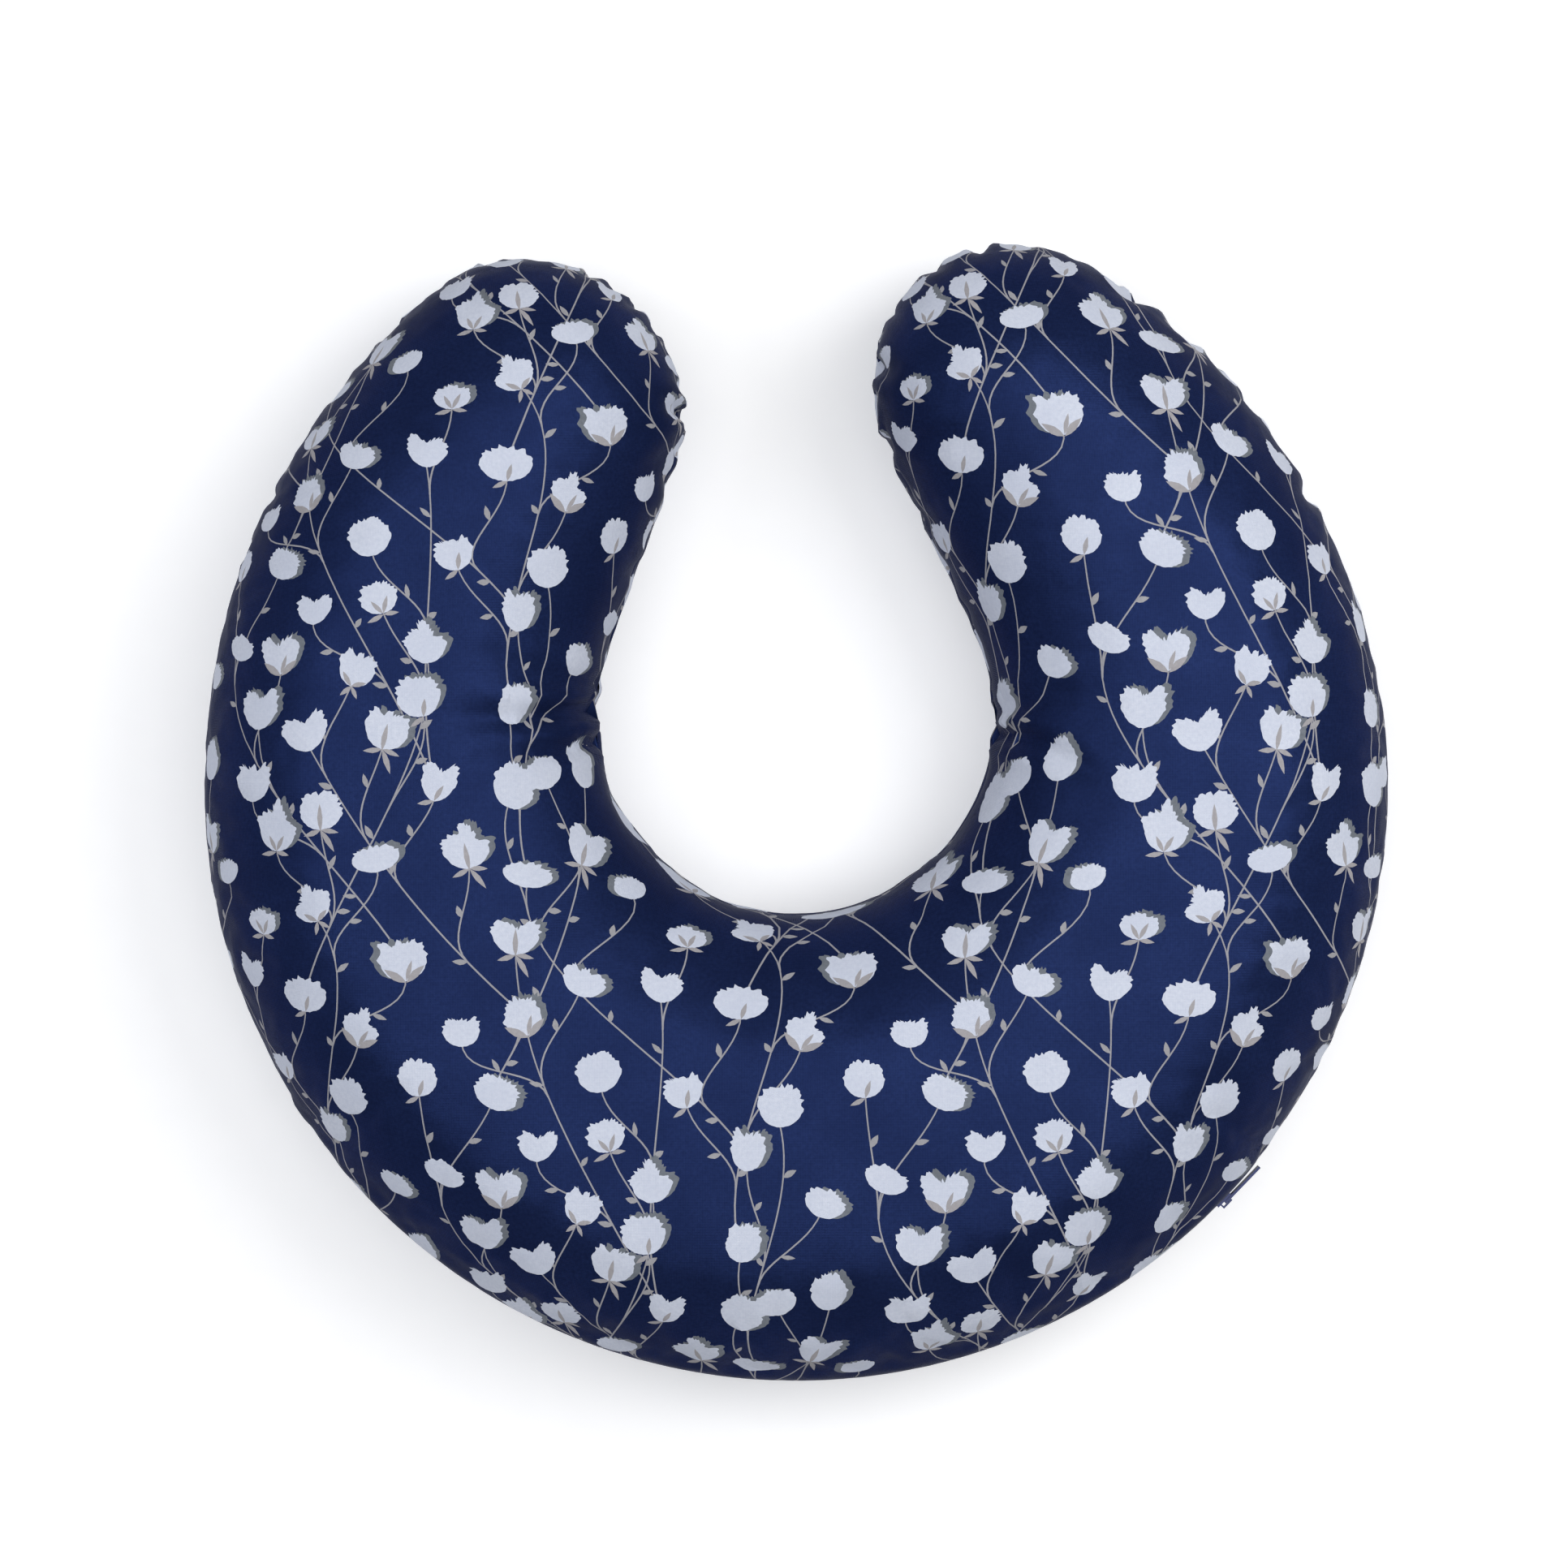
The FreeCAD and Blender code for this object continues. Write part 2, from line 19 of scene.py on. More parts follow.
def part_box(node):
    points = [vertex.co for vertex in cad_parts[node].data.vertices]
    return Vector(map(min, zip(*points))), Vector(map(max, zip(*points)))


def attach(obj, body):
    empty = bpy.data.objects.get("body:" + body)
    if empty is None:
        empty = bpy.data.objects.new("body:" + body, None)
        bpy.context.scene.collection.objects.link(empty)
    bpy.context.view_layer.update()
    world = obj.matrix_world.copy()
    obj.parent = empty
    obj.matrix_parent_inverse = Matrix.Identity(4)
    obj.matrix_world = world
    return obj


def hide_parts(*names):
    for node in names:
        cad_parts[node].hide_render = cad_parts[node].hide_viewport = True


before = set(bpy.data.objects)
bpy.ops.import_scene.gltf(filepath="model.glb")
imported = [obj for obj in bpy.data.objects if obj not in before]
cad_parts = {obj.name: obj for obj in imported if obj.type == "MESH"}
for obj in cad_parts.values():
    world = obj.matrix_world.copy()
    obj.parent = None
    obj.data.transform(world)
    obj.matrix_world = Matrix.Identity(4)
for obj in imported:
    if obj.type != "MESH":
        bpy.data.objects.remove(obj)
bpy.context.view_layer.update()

# %% [markdown]
# Everything below is thought out in millimetres, as a pattern cutter would, and is turned into Blender's
# metres at the last moment. Colours are written as the hex values of a colour chart. Blender mixes light
# in linear values, so one function turns each hex value to linear.

# %% Units and colours
MM = 0.001
low_corner, high_corner = (np.array(corner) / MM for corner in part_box("cover_bottom_panel"))
top_corner = np.array(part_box("cover_top_panel")[1]) / MM
THICKNESS = top_corner[2]
SEAM_HEIGHT = high_corner[2]
BASE_RADIUS = high_corner[0]
CENTRE_Y = low_corner[1] + BASE_RADIUS
print(f"thickness {THICKNESS:.1f}, seam at {SEAM_HEIGHT:.1f}, base radius {BASE_RADIUS:.1f} mm")


def linear(hex_colour):
    """Turn an sRGB hex colour such as 1b2a6b into linear red, green, blue and alpha."""
    channels = [int(hex_colour[i:i + 2], 16) / 255 for i in (0, 2, 4)]
    return (*[c / 12.92 if c <= 0.04045 else ((c + 0.055) / 1.055) ** 2.4 for c in channels], 1.0)


# %% [markdown]
# ## The room
#
# The cushion lies on a white sweep and is seen from straight above. One very broad soft light hangs over
# it, so the crown of the sateen shines and its sides fall dark. A second light at the upper right and a
# weaker one at the left open the shadows. The sweep glows a little by itself, which keeps it white.

# %% Camera, floor and lights
VIEW_WIDTH = 773.0
VIEW_CENTRE = Vector((-6.0, 16.0, 0.0))
LENS = 85.0
SENSOR = 36.0
WORLD_GLOW = 0.1
camera_data = bpy.data.cameras.new("camera")
camera_data.lens = LENS
camera_data.sensor_width = SENSOR
camera = bpy.data.objects.new("camera", camera_data)
camera_height = VIEW_WIDTH * LENS / SENSOR + SEAM_HEIGHT
camera.location = (VIEW_CENTRE + Vector((0, 0, camera_height))) * MM
bpy.context.collection.objects.link(camera)
bpy.context.scene.camera = camera
bpy.context.scene.view_settings.view_transform = "Standard"
print(f"camera {camera_height:.0f} mm above the floor")


def add_light(name, place, target, width, watts, colour):
    """A square soft light that looks at a target, placed in millimetres."""
    data = bpy.data.lights.new(name, "AREA")
    data.size = width * MM
    data.energy = watts
    data.color = linear(colour)[:3]
    light = bpy.data.objects.new(name, data)
    light.location = Vector(place) * MM
    light.rotation_euler = (Vector(target) - Vector(place)).to_track_quat("-Z", "Y").to_euler()
    bpy.context.collection.objects.link(light)


add_light("right_light", (950, 350, 1500), (90, 40, 60), width=900, watts=14, colour="ffffff")
add_light("left_light", (-1100, 100, 1400), (-80, 0, 60), width=900, watts=7, colour="f4f7ff")
add_light("top_light", (0, 0, 2600), (0, 0, 0), width=1800, watts=29, colour="ffffff")

world = bpy.data.worlds.new("studio")
world.use_nodes = True
world.node_tree.nodes["Background"].inputs["Color"].default_value = linear("f2f5fa")
world.node_tree.nodes["Background"].inputs["Strength"].default_value = WORLD_GLOW
bpy.context.scene.world = world

# %% [markdown]
# One small function adds a node to a material: its kind, its settings, the values of its sockets and
# what is plugged into them. Every material below is built with it.

# %% Node helper
def add_node(material, kind, settings=None, **sockets):
    """Add a node; a socket's value is a number, a colour or another node's output."""
    tree = material.node_tree
    node = tree.nodes.new(kind)
    for name, value in (settings or {}).items():
        setattr(node, name, value)
    for name, value in sockets.items():
        socket = node.inputs[int(name[1:])] if name[1:].isdigit() else node.inputs[name.replace("_", " ")]
        if isinstance(value, bpy.types.NodeSocket):
            tree.links.new(value, socket)
        else:
            socket.default_value = value
    return node


def new_material(name):
    """An empty node material and its shader."""
    material = bpy.data.materials.new(name)
    material.use_nodes = True
    shader = material.node_tree.nodes["Principled BSDF"]
    return material, shader


def plug_in(material, shader, colour, gloss, bump):
    """Plug a colour mix, a range of roughness and a bump into a shader."""
    links = material.node_tree.links
    links.new(colour.outputs[2], shader.inputs["Base Color"])
    links.new(gloss.outputs[0], shader.inputs["Roughness"])
    links.new(bump.outputs[0], shader.inputs["Normal"])


# %% Floor
FLOOR_HALF = 6.0
FLOOR_GLOW = 0.28
FLOOR_CORNERS = [(-1, -1), (1, -1), (1, 1), (-1, 1)]
floor_material, floor_shader = new_material("pale_paper_sweep")
grain = add_node(floor_material, "ShaderNodeTexNoise", Scale=900.0, Detail=3.0)
floor_tone = add_node(floor_material, "ShaderNodeMix", {"data_type": "RGBA"}, i0=grain.outputs["Fac"],
                      i6=linear("fbfbfb"), i7=linear("f6f6f7"))
floor_material.node_tree.links.new(floor_tone.outputs[2], floor_shader.inputs["Base Color"])
floor_shader.inputs["Roughness"].default_value = 0.9
floor_shader.inputs["Emission Color"].default_value = linear("ffffff")
floor_shader.inputs["Emission Strength"].default_value = FLOOR_GLOW
floor_mesh = bpy.data.meshes.new("floor")
floor_mesh.from_pydata([(x * FLOOR_HALF, y * FLOOR_HALF, 0) for x, y in FLOOR_CORNERS], [], [(0, 1, 2, 3)])
floor_mesh.materials.append(floor_material)
floor = bpy.data.objects.new("floor", floor_mesh)
bpy.context.collection.objects.link(floor)

# %% [markdown]
# ## The pattern piece
#
# Both panels are cut from one C-shaped pattern. The stuffed outline is eight arcs and straight runs, all
# tangent. Cloth that rises over the edge of a cushion is longer than the plan shows, so the pattern is
# the same outline moved outwards by that extra length.

# %% Outline of the stuffed pillow
ARM_FLARE = 14.0
TIP_RADIUS = 72.0
WAIST_RADIUS = 98.0
WAIST_SHIFT = 35.6
MOUTH_GAP = 95.0
CENTRE = np.array([0.0, CENTRE_Y])


def direction(bearing):
    """Unit vector at an angle in radians from +X."""
    return np.array([math.cos(bearing), math.sin(bearing)])


def arc(centre, radius, start, end, spacing):
    """Points along an arc, without its last one."""
    count = max(2, round(abs(end - start) * radius / spacing))
    return [centre + direction(start + (end - start) * i / count) * radius for i in range(count)]


def straight(start, end, spacing):
    """Points along a straight run, without its last one."""
    count = max(1, round(np.linalg.norm(end - start) / spacing))
    return [start + (end - start) * i / count for i in range(count)]


def outline(outset, spacing):
    """The C outline moved outwards, anticlockwise, from the left end of the base arc."""
    base_radius = BASE_RADIUS + outset
    arm_radius = base_radius + ARM_FLARE
    tip_radius = TIP_RADIUS + outset
    waist_radius = WAIST_RADIUS - outset
    arm_centre = CENTRE - [ARM_FLARE, 0]
    tip_bearing = math.acos((MOUTH_GAP / 2 + TIP_RADIUS + ARM_FLARE) / (arm_radius - tip_radius))
    tip_centre = arm_centre + direction(tip_bearing) * (arm_radius - tip_radius)
    waist_centre = CENTRE + [0, WAIST_SHIFT]
    between = tip_centre - waist_centre
    lean = math.acos((waist_radius + tip_radius) / np.linalg.norm(between))
    flank = math.atan2(between[1], between[0]) - lean
    right = arc(arm_centre, arm_radius, 0, tip_bearing, spacing)
    right += arc(tip_centre, tip_radius, tip_bearing, flank + math.pi, spacing)
    tip_end = tip_centre - direction(flank) * tip_radius
    right += straight(tip_end, waist_centre + direction(flank) * waist_radius, spacing)
    waist = arc(waist_centre, waist_radius, flank, -math.pi - flank, spacing)
    left = [point * [-1, 1] for point in reversed(right)]
    base = arc(CENTRE, base_radius, -math.pi, 0, spacing)
    waist_end = waist_centre + direction(math.pi - flank) * waist_radius
    return np.array(base + right + waist + [waist_end] + left[:-1])


# %% [markdown]
# The cushion's section is a quarter of a superellipse on each side: it stands upright at the seam and
# flattens towards the crown. A table of its arc length says where each millimetre of cloth comes to lie.

# %% Section of the stuffed pillow
SECTION_HALF_WIDTH = 95.0
SECTION_POWER = {1: 2.1, -1: 2.6}
PROFILE_STEPS = 2000


def section_profile(side):
    """Arc length, distance in from the seam and height over it, along one quarter of the section."""
    turn = np.linspace(0, math.pi / 2, PROFILE_STEPS)
    power = 2 / SECTION_POWER[side]
    inward = SECTION_HALF_WIDTH * (1 - np.cos(turn) ** power)
    height = THICKNESS / 2 * np.sin(turn) ** power
    steps = np.hypot(np.diff(inward), np.diff(height))
    return np.concatenate([[0], np.cumsum(steps)]), inward, height


PROFILES = {side: section_profile(side) for side in (1, -1)}
EXTRA_CLOTH = {side: PROFILES[side][0][-1] - SECTION_HALF_WIDTH for side in (1, -1)}
PATTERN_OUTSET = EXTRA_CLOTH[1]
print(f"pattern is cut {PATTERN_OUTSET:.1f} mm outside the stuffed outline")

# %% [markdown]
# To stuff the pattern, each point needs its distance from the cut edge and the direction that leads
# inwards. Both come from the nearest stretch of the edge, worked out for many points at once.

# %% Distance from the cut edge
POINTS_AT_ONCE = 2000
SHORTEST = 1e-6
ROUNDING = 1e-9


def edge_distance(points, loop):
    """Distance inside a closed loop, unit vector inwards and place along the loop, for each point."""
    starts, ends = loop, np.roll(loop, -1, axis=0)
    runs = ends - starts
    lengths = np.linalg.norm(runs, axis=1)
    travelled = np.concatenate([[0], np.cumsum(lengths)[:-1]])
    distance, inwards, place = [], [], []
    for chunk in np.array_split(points, max(1, len(points) // POINTS_AT_ONCE)):
        offset = chunk[:, None, :] - starts[None]
        share = np.clip(np.einsum("pij,ij->pi", offset, runs) / lengths ** 2, 0, 1)
        gap = offset - share[..., None] * runs
        spans = np.einsum("pij,pij->pi", gap, gap)
        nearest = spans.argmin(axis=1)
        row = np.arange(len(chunk))
        best = gap[row, nearest]
        left = np.stack([-runs[nearest, 1], runs[nearest, 0]], axis=1) / lengths[nearest, None]
        side = np.einsum("pi,pi->p", best, left)
        length = np.sqrt(spans[row, nearest])
        unit = np.where(length[:, None] > SHORTEST, best / np.maximum(length, SHORTEST)[:, None], left)
        distance.append(np.where(side >= -ROUNDING, length, -length))
        inwards.append(np.where((side < -ROUNDING)[:, None], -unit, unit))
        place.append(travelled[nearest] + share[row, nearest] * lengths[nearest])
    return np.concatenate(distance), np.concatenate(inwards), np.concatenate(place)


def hex_points(spacing, loop, margin):
    """A triangular grid of points at least a margin inside a loop."""
    low, high = loop.min(axis=0), loop.max(axis=0)
    rise = spacing * math.sqrt(3) / 2
    rows = int((high[1] - low[1]) / rise) + 1
    columns = int((high[0] - low[0]) / spacing) + 2
    grid = [(low[0] + (column + (row % 2) / 2) * spacing, low[1] + row * rise)
            for row in range(rows) for column in range(columns)]
    grid = np.array(grid)
    distance, _, _ = edge_distance(grid, loop)
    return grid[distance > margin]


# %% [markdown]
# ## Sewing and stuffing
#
# The cloth for the simulation is a triangle net of about 6 mm, the same for both panels. They share
# their points at the cut edge, which is the seam, except along the zip, where each panel has its own
# edge, held still on the zip's tape.

# %% Net for the simulation
NET_SPACING = 6.0
NET_MARGIN = 0.55
NET_MERGE = 1e-5
INSIDE_ONLY = 1
BASE_SIDE = 0.8
ZIP_HALF_ANGLE = math.radians(50.3)
ZIP_CLOSING_ANGLE = math.radians(1.7)
SLOT_HALF = 5.0
SLOT_FROM = 0.01

pattern_edge = outline(PATTERN_OUTSET, NET_SPACING)
inner_points = hex_points(NET_SPACING, pattern_edge, NET_SPACING * NET_MARGIN)
flat_points = np.concatenate([pattern_edge, inner_points])
edge_count = len(pattern_edge)
net = delaunay_2d_cdt([Vector(point) for point in flat_points], [], [list(range(edge_count))],
                      INSIDE_ONLY, NET_MERGE, True)
net_faces = np.array(net[2])
middles, _, _ = edge_distance(flat_points[net_faces].mean(axis=1), pattern_edge)
net_faces = net_faces[middles > 0]
print(f"net of {len(flat_points)} points and {len(net_faces)} faces a panel")


def base_bearing(points):
    """Bearing of flat points from the middle of the base."""
    from_centre = points - CENTRE
    return np.arctan2(from_centre[:, 0], -from_centre[:, 1])


def slot_opening(points):
    """Half the height of the zip's slot at points near the base edge."""
    bearing = np.abs(base_bearing(points))
    share = np.clip((ZIP_HALF_ANGLE + ZIP_CLOSING_ANGLE - bearing) / ZIP_CLOSING_ANGLE, 0, 1)
    beside_base = np.linalg.norm(points - CENTRE, axis=1) > BASE_RADIUS * BASE_SIDE
    return SLOT_HALF * share * share * (3 - 2 * share) * beside_base


def stuffed(points, side):
    """Where pattern points come to lie on the stuffed cushion, before the cloth settles."""
    distance, inwards, _ = edge_distance(points, pattern_edge)
    length, inward, height = PROFILES[side]
    scaled = np.maximum(distance, 0) * length[-1] / (SECTION_HALF_WIDTH + PATTERN_OUTSET)
    plan = np.where(scaled < length[-1], np.interp(scaled, length, inward), distance - PATTERN_OUTSET)
    rise = np.interp(scaled, length, height)
    place = points + inwards * (plan - (distance - PATTERN_OUTSET))[:, None]
    slot = slot_opening(points)
    lifted = slot + rise * (1 - slot / (THICKNESS / 2))
    return np.column_stack([place, SEAM_HEIGHT + side * lifted])


top_places = stuffed(flat_points, 1)
bottom_places = stuffed(flat_points, -1)
open_edge = np.zeros(len(flat_points), bool)
open_edge[:edge_count] = slot_opening(pattern_edge) > SLOT_FROM
own_point = np.arange(len(flat_points)) >= edge_count
own_point |= open_edge
bottom_index = np.arange(len(flat_points))
bottom_index[own_point] = len(flat_points) + np.arange(own_point.sum())
sim_places = np.concatenate([top_places, bottom_places[own_point]])
sim_faces = np.concatenate([net_faces, bottom_index[net_faces][:, ::-1]])
print(f"{len(sim_places)} points in all, {int(open_edge.sum())} on each side of the zip")

# %% [markdown]
# The seam is the strongest line of a cushion: four layers of cloth and a thread. It keeps its length, so
# it is held on the stuffed outline, with the small waver of hand sewing. The cloth beside it is a little
# longer than the seam and gathers into puckers. Here that is a negative shrinkage on a vertex group. A
# few spots have more cloth to lose, where an arm turns sharply. Pressure stands for the fibre filling.
# A perfectly smooth net would never buckle, so each free point starts a fraction of a millimetre off.

# %% Cloth simulation
EASE_BAND = 34.0
EASE = 0.5
# Each hard spot has a place and a reach: full spare length within half the reach, none beyond 1.5 of it.
HARD_SPOTS = [((-98.0, 60.0), 44.0), ((101.0, 34.0), 34.0), ((-88.0, 112.0), 24.0), ((60.0, 180.0), 20.0)]
HARD_SPOT_EDGE = 1.5
SEAM_WAVER = 1.1
UP_AND_DOWN = 1.4
WAVES = 7
WAVES_ROUND = (9, 70)
WAVES_TOGETHER = 2.6
LAST_PHASE = 6.28
WAVER_STOP = 4
START_UNEVENNESS = 0.25
SPARE_LENGTH = 0.24
MOST_MOVE = 10.0
STIFF_BESIDE_ZIP = 30.0
STIFFNESS_FADES = 10
SIM_FRAMES = 20
random_waver = random.Random(11)


def cloth_object(name, places, faces):
    """A mesh object from places in millimetres."""
    mesh = bpy.data.meshes.new(name)
    mesh.from_pydata((places * MM).tolist(), [], faces.tolist())
    mesh.update()
    made = bpy.data.objects.new(name, mesh)
    bpy.context.collection.objects.link(made)
    return made


def seam_waver():
    """Small smooth offsets of the seam, in and out and up and down, none of them along the zip."""
    place = np.arange(edge_count) / edge_count * 2 * math.pi
    waves = [(random_waver.randint(*WAVES_ROUND), random_waver.uniform(0, LAST_PHASE))
             for _ in range(WAVES * 2)]
    out = sum(np.sin(place * count + phase) for count, phase in waves[:WAVES]) / WAVES_TOGETHER
    up = sum(np.sin(place * count + phase) for count, phase in waves[WAVES:]) / WAVES_TOGETHER
    free = 1 - np.clip(slot_opening(pattern_edge) / SLOT_HALF * WAVER_STOP, 0, 1)
    return out * SEAM_WAVER * free, up * SEAM_WAVER * UP_AND_DOWN * free


def ease_weights(places):
    """How much spare length the cloth has at each point, from 0 to 1."""
    edge_gap, _, _ = edge_distance(places[:, :2], outline(0, NET_SPACING))
    near_seam = np.clip(1 - edge_gap / EASE_BAND, 0, 1)
    weight = near_seam * EASE
    for spot, reach in HARD_SPOTS:
        far = np.linalg.norm(places[:, :2] - spot, axis=1)
        weight = np.maximum(weight, np.clip(HARD_SPOT_EDGE - far / reach, 0, 1))
    return weight


def settle(places, faces, pins):
    """Run the cloth, with some points pinned, and return where its points come to rest."""
    cloth = cloth_object("cloth_in_work", places, faces)
    ease = cloth.vertex_groups.new(name="ease")
    held = cloth.vertex_groups.new(name="held")
    for index, weight in enumerate(ease_weights(places)):
        ease.add([index], float(weight), "REPLACE")
    held.add(np.flatnonzero(pins).tolist(), 1.0, "REPLACE")
    modifier = cloth.modifiers.new("stuffing", "CLOTH")
    settings = modifier.settings
    settings.quality = 6
    settings.mass = 0.005
    settings.tension_stiffness = settings.compression_stiffness = 5
    settings.shear_stiffness = 1
    settings.bending_stiffness = 0.005
    settings.air_damping = 1
    settings.use_pressure = True
    settings.uniform_pressure_force = 8
    settings.vertex_group_shrink = "ease"
    settings.shrink_min = 0.0
    settings.shrink_max = -SPARE_LENGTH
    settings.vertex_group_mass = "held"
    settings.effector_weights.gravity = 0
    modifier.collision_settings.use_collision = False
    modifier.collision_settings.use_self_collision = False
    modifier.point_cache.frame_end = SIM_FRAMES
    scene = bpy.context.scene
    for step in range(1, SIM_FRAMES + 1):
        scene.frame_set(step)
    evaluated = cloth.evaluated_get(bpy.context.evaluated_depsgraph_get())
    flat = np.empty(len(places) * 3, np.float32)
    evaluated.data.vertices.foreach_get("co", flat)
    scene.frame_set(1)
    bpy.data.objects.remove(cloth)
    moved = flat.reshape(-1, 3).astype(float) / MM - places
    length = np.linalg.norm(moved, axis=1)
    limit = MOST_MOVE * np.tanh(length / MOST_MOVE) / np.maximum(length, ROUNDING)
    print(f"cloth moved {length.mean():.1f} mm on average, {length.max():.1f} mm at most")
    return places + moved * limit[:, None]


waver_out, waver_up = seam_waver()
edge_inwards = edge_distance(sim_places[:edge_count, :2], outline(0, NET_SPACING))[1]
sim_places[:edge_count, :2] -= edge_inwards * waver_out[:, None]
sim_places[:edge_count, 2] += waver_up
pins = np.arange(len(sim_places)) < edge_count
pins[len(flat_points):] = open_edge[own_point]
unevenness = np.random.default_rng(3).normal(0, START_UNEVENNESS, len(sim_places))
sim_places[~pins, 2] += unevenness[~pins]
settled = settle(sim_places, sim_faces, pins)

# The zip's tape is stiffer than the cloth, so the cloth beside it keeps its shape.
zip_hold = np.concatenate([np.arange(len(flat_points)), np.flatnonzero(own_point)])
net_gap, net_inwards, _ = edge_distance(flat_points, pattern_edge)
net_slot = slot_opening(flat_points - net_inwards * net_gap[:, None])
near_zip = np.clip((STIFF_BESIDE_ZIP - net_gap) / STIFFNESS_FADES, 0, 1)
hold = (net_slot / SLOT_HALF * near_zip)[zip_hold][:, None]
settled = settled + (sim_places - settled) * hold

# %% [markdown]
# The pillow lies on a table, so its underside is flat where it touches, and the crown stays under the
# height that the design gives. The arms are not quite alike on a hand-stuffed pillow: both lean a few
# millimetres to the left, which is a smooth shift that grows towards the tips.

# %% Lying flat
FLAT_SOFTNESS = 5.0
UNDER_TOP = 0.5
OVER_TABLE = 0.3
ARM_LEAN = 9.0
LEAN_START = 20.0
LEAN_LENGTH = 190.0
ARM_TURN = 0.03


def soft_limit(height, limit, softness):
    """Bring heights above a limit smoothly down to it."""
    eased = limit - softness * np.exp(-(height - limit + softness) / softness)
    return np.where(height > limit - softness, eased, height)


def lean_arms(places):
    """Shift the arms to the left, more towards their tips."""
    share = np.clip((places[:, 1] - LEAN_START) / LEAN_LENGTH, 0, None)
    leaned = places.copy()
    leaned[:, 0] -= ARM_LEAN * share ** 2
    leaned[:, 1] += places[:, 0] * ARM_TURN * np.clip(share, 0, 1) ** 2
    return leaned


settled[:, 2] = soft_limit(settled[:, 2], THICKNESS - UNDER_TOP, FLAT_SOFTNESS)
settled[:, 2] = THICKNESS - soft_limit(THICKNESS - settled[:, 2], THICKNESS - OVER_TABLE, FLAT_SOFTNESS)
settled = lean_arms(settled)
print("cloth spans", settled.min(axis=0).round(1), settled.max(axis=0).round(1))

# %% [markdown]
# ## From the pattern to the pillow
#
# Whatever is printed on the cloth or sewn to it is drawn flat, in the pattern's own millimetres, and then
# carried on to the settled cloth. A flat point finds its triangle of the net, and takes the place that the
# triangle's corners give it. The corners' outward directions bend that place into a smooth curve.

# %% Carrying flat points on to the cloth
CURVE_SHARE = 0.75


def point_normals(places, faces):
    """Outward unit vector at each point, with larger triangles counting for more."""
    corners = places[faces]
    normals = np.cross(corners[:, 1] - corners[:, 0], corners[:, 2] - corners[:, 0])
    total = np.zeros_like(places)
    for corner in range(3):
        np.add.at(total, faces[:, corner], normals)
    return total / np.maximum(np.linalg.norm(total, axis=1, keepdims=True), 1e-12)


def lengthwise(vectors):
    """Unit vectors of the same direction."""
    return vectors / np.maximum(np.linalg.norm(vectors, axis=1, keepdims=True), ROUNDING)


def cross2(first, second):
    """Cross product of two lists of flat vectors."""
    return first[:, 0] * second[:, 1] - first[:, 1] * second[:, 0]


settled_normals = point_normals(settled, sim_faces)
CLOTH = {
    1: (settled[:len(flat_points)], settled_normals[:len(flat_points)]),
    -1: (settled[bottom_index], settled_normals[bottom_index]),
}
flat_tree = BVHTree.FromPolygons([(x, y, 0) for x, y in flat_points], net_faces.tolist())


def carried(points, side):
    """Place and outward direction on the settled cloth for flat points of one panel."""
    corners = net_faces[[flat_tree.find_nearest((x, y, 0))[2] for x, y in points]]
    first, second, third = (flat_points[corners[:, corner]] for corner in range(3))
    area = cross2(second - first, third - first)
    share_second = cross2(points - first, third - first) / area
    share_third = cross2(second - first, points - first) / area
    shares = np.stack([1 - share_second - share_third, share_second, share_third], axis=1)[..., None]
    places, normals = (table[corners] for table in CLOTH[side])
    level = (shares * places).sum(axis=1)
    height = ((level[:, None] - places) * normals).sum(axis=2, keepdims=True)
    curved = (shares * (level[:, None] - height * normals)).sum(axis=1)
    normal = (shares * normals).sum(axis=1)
    normal /= np.linalg.norm(normal, axis=1, keepdims=True)
    return level + (curved - level) * CURVE_SHARE, normal


# %% [markdown]
# The net is too coarse for the small puckers at the seam, so those are pressed in afterwards. Each one is
# a short valley that starts at the seam and fades inwards. Both panels share its depth at the seam, because
# the same stitches hold both. A few longer folds run in from the tight places at the waist.

# %% Puckers and folds
PUCKER_SPACING = 31.0
PUCKER_GAPS = (0.5, 1.6)
PUCKER_DEPTHS = [0.3, 0.5, 1.0, 1.8]
PUCKER_WIDTHS = (3.0, 6.2)
PUCKER_LENGTHS = (16, 46)
PUCKER_LEANS = (-0.4, 0.4)
PUCKER_REACH = 40
PUCKER_BANKS = (0.3, 2)
TIP_START = 90
TIP_LENGTH = 90
WAIST_SIDE = 0.75
TIGHT_EVERYWHERE = 0.3
TIGHT_AT_TIPS = 2.6
TIGHT_AT_WAIST = 0.6
SEAM_GROOVE = 1.3
SEAM_GROOVE_WIDTH = 2.2
GROOVE_STOP = 3
# Each fold has a start, an end, a width and a depth, seen from above.
FOLDS = {
    1: [((-96, 54), (-176, 46), 3.8, 6.0), ((-97, 37), (-146, 32), 3.4, 3.8),
        ((-97, 64), (-150, 78), 4.2, 3.0), ((100, 40), (154, 14), 3.9, 4.4),
        ((101, 52), (146, 60), 3.6, 2.6), ((-60, -45), (-84, -92), 5.0, 1.3),
        ((58, -48), (80, -88), 5.0, 1.2), ((60, 182), (96, 172), 4.0, 1.6),
        ((-62, 176), (-100, 150), 4.5, 1.8)],
    -1: [((-96, 52), (-150, 44), 5.0, 3.0), ((98, 48), (150, 30), 5.0, 2.6),
         ((-97, 70), (-140, 92), 4.0, 1.6), ((20, -62), (26, -110), 5.0, 1.5),
         ((62, 176), (100, 158), 4.5, 1.6)],
}
FOLD_BEFORE_START = -0.3
FOLD_ONSET = 3.3
FOLD_BEND = 3.0
FOLD_BEND_TURN = 4
FOLD_SPREAD = 0.7
FOLD_BANKS = (0.35, 2.1)
pucker_random = random.Random(5)


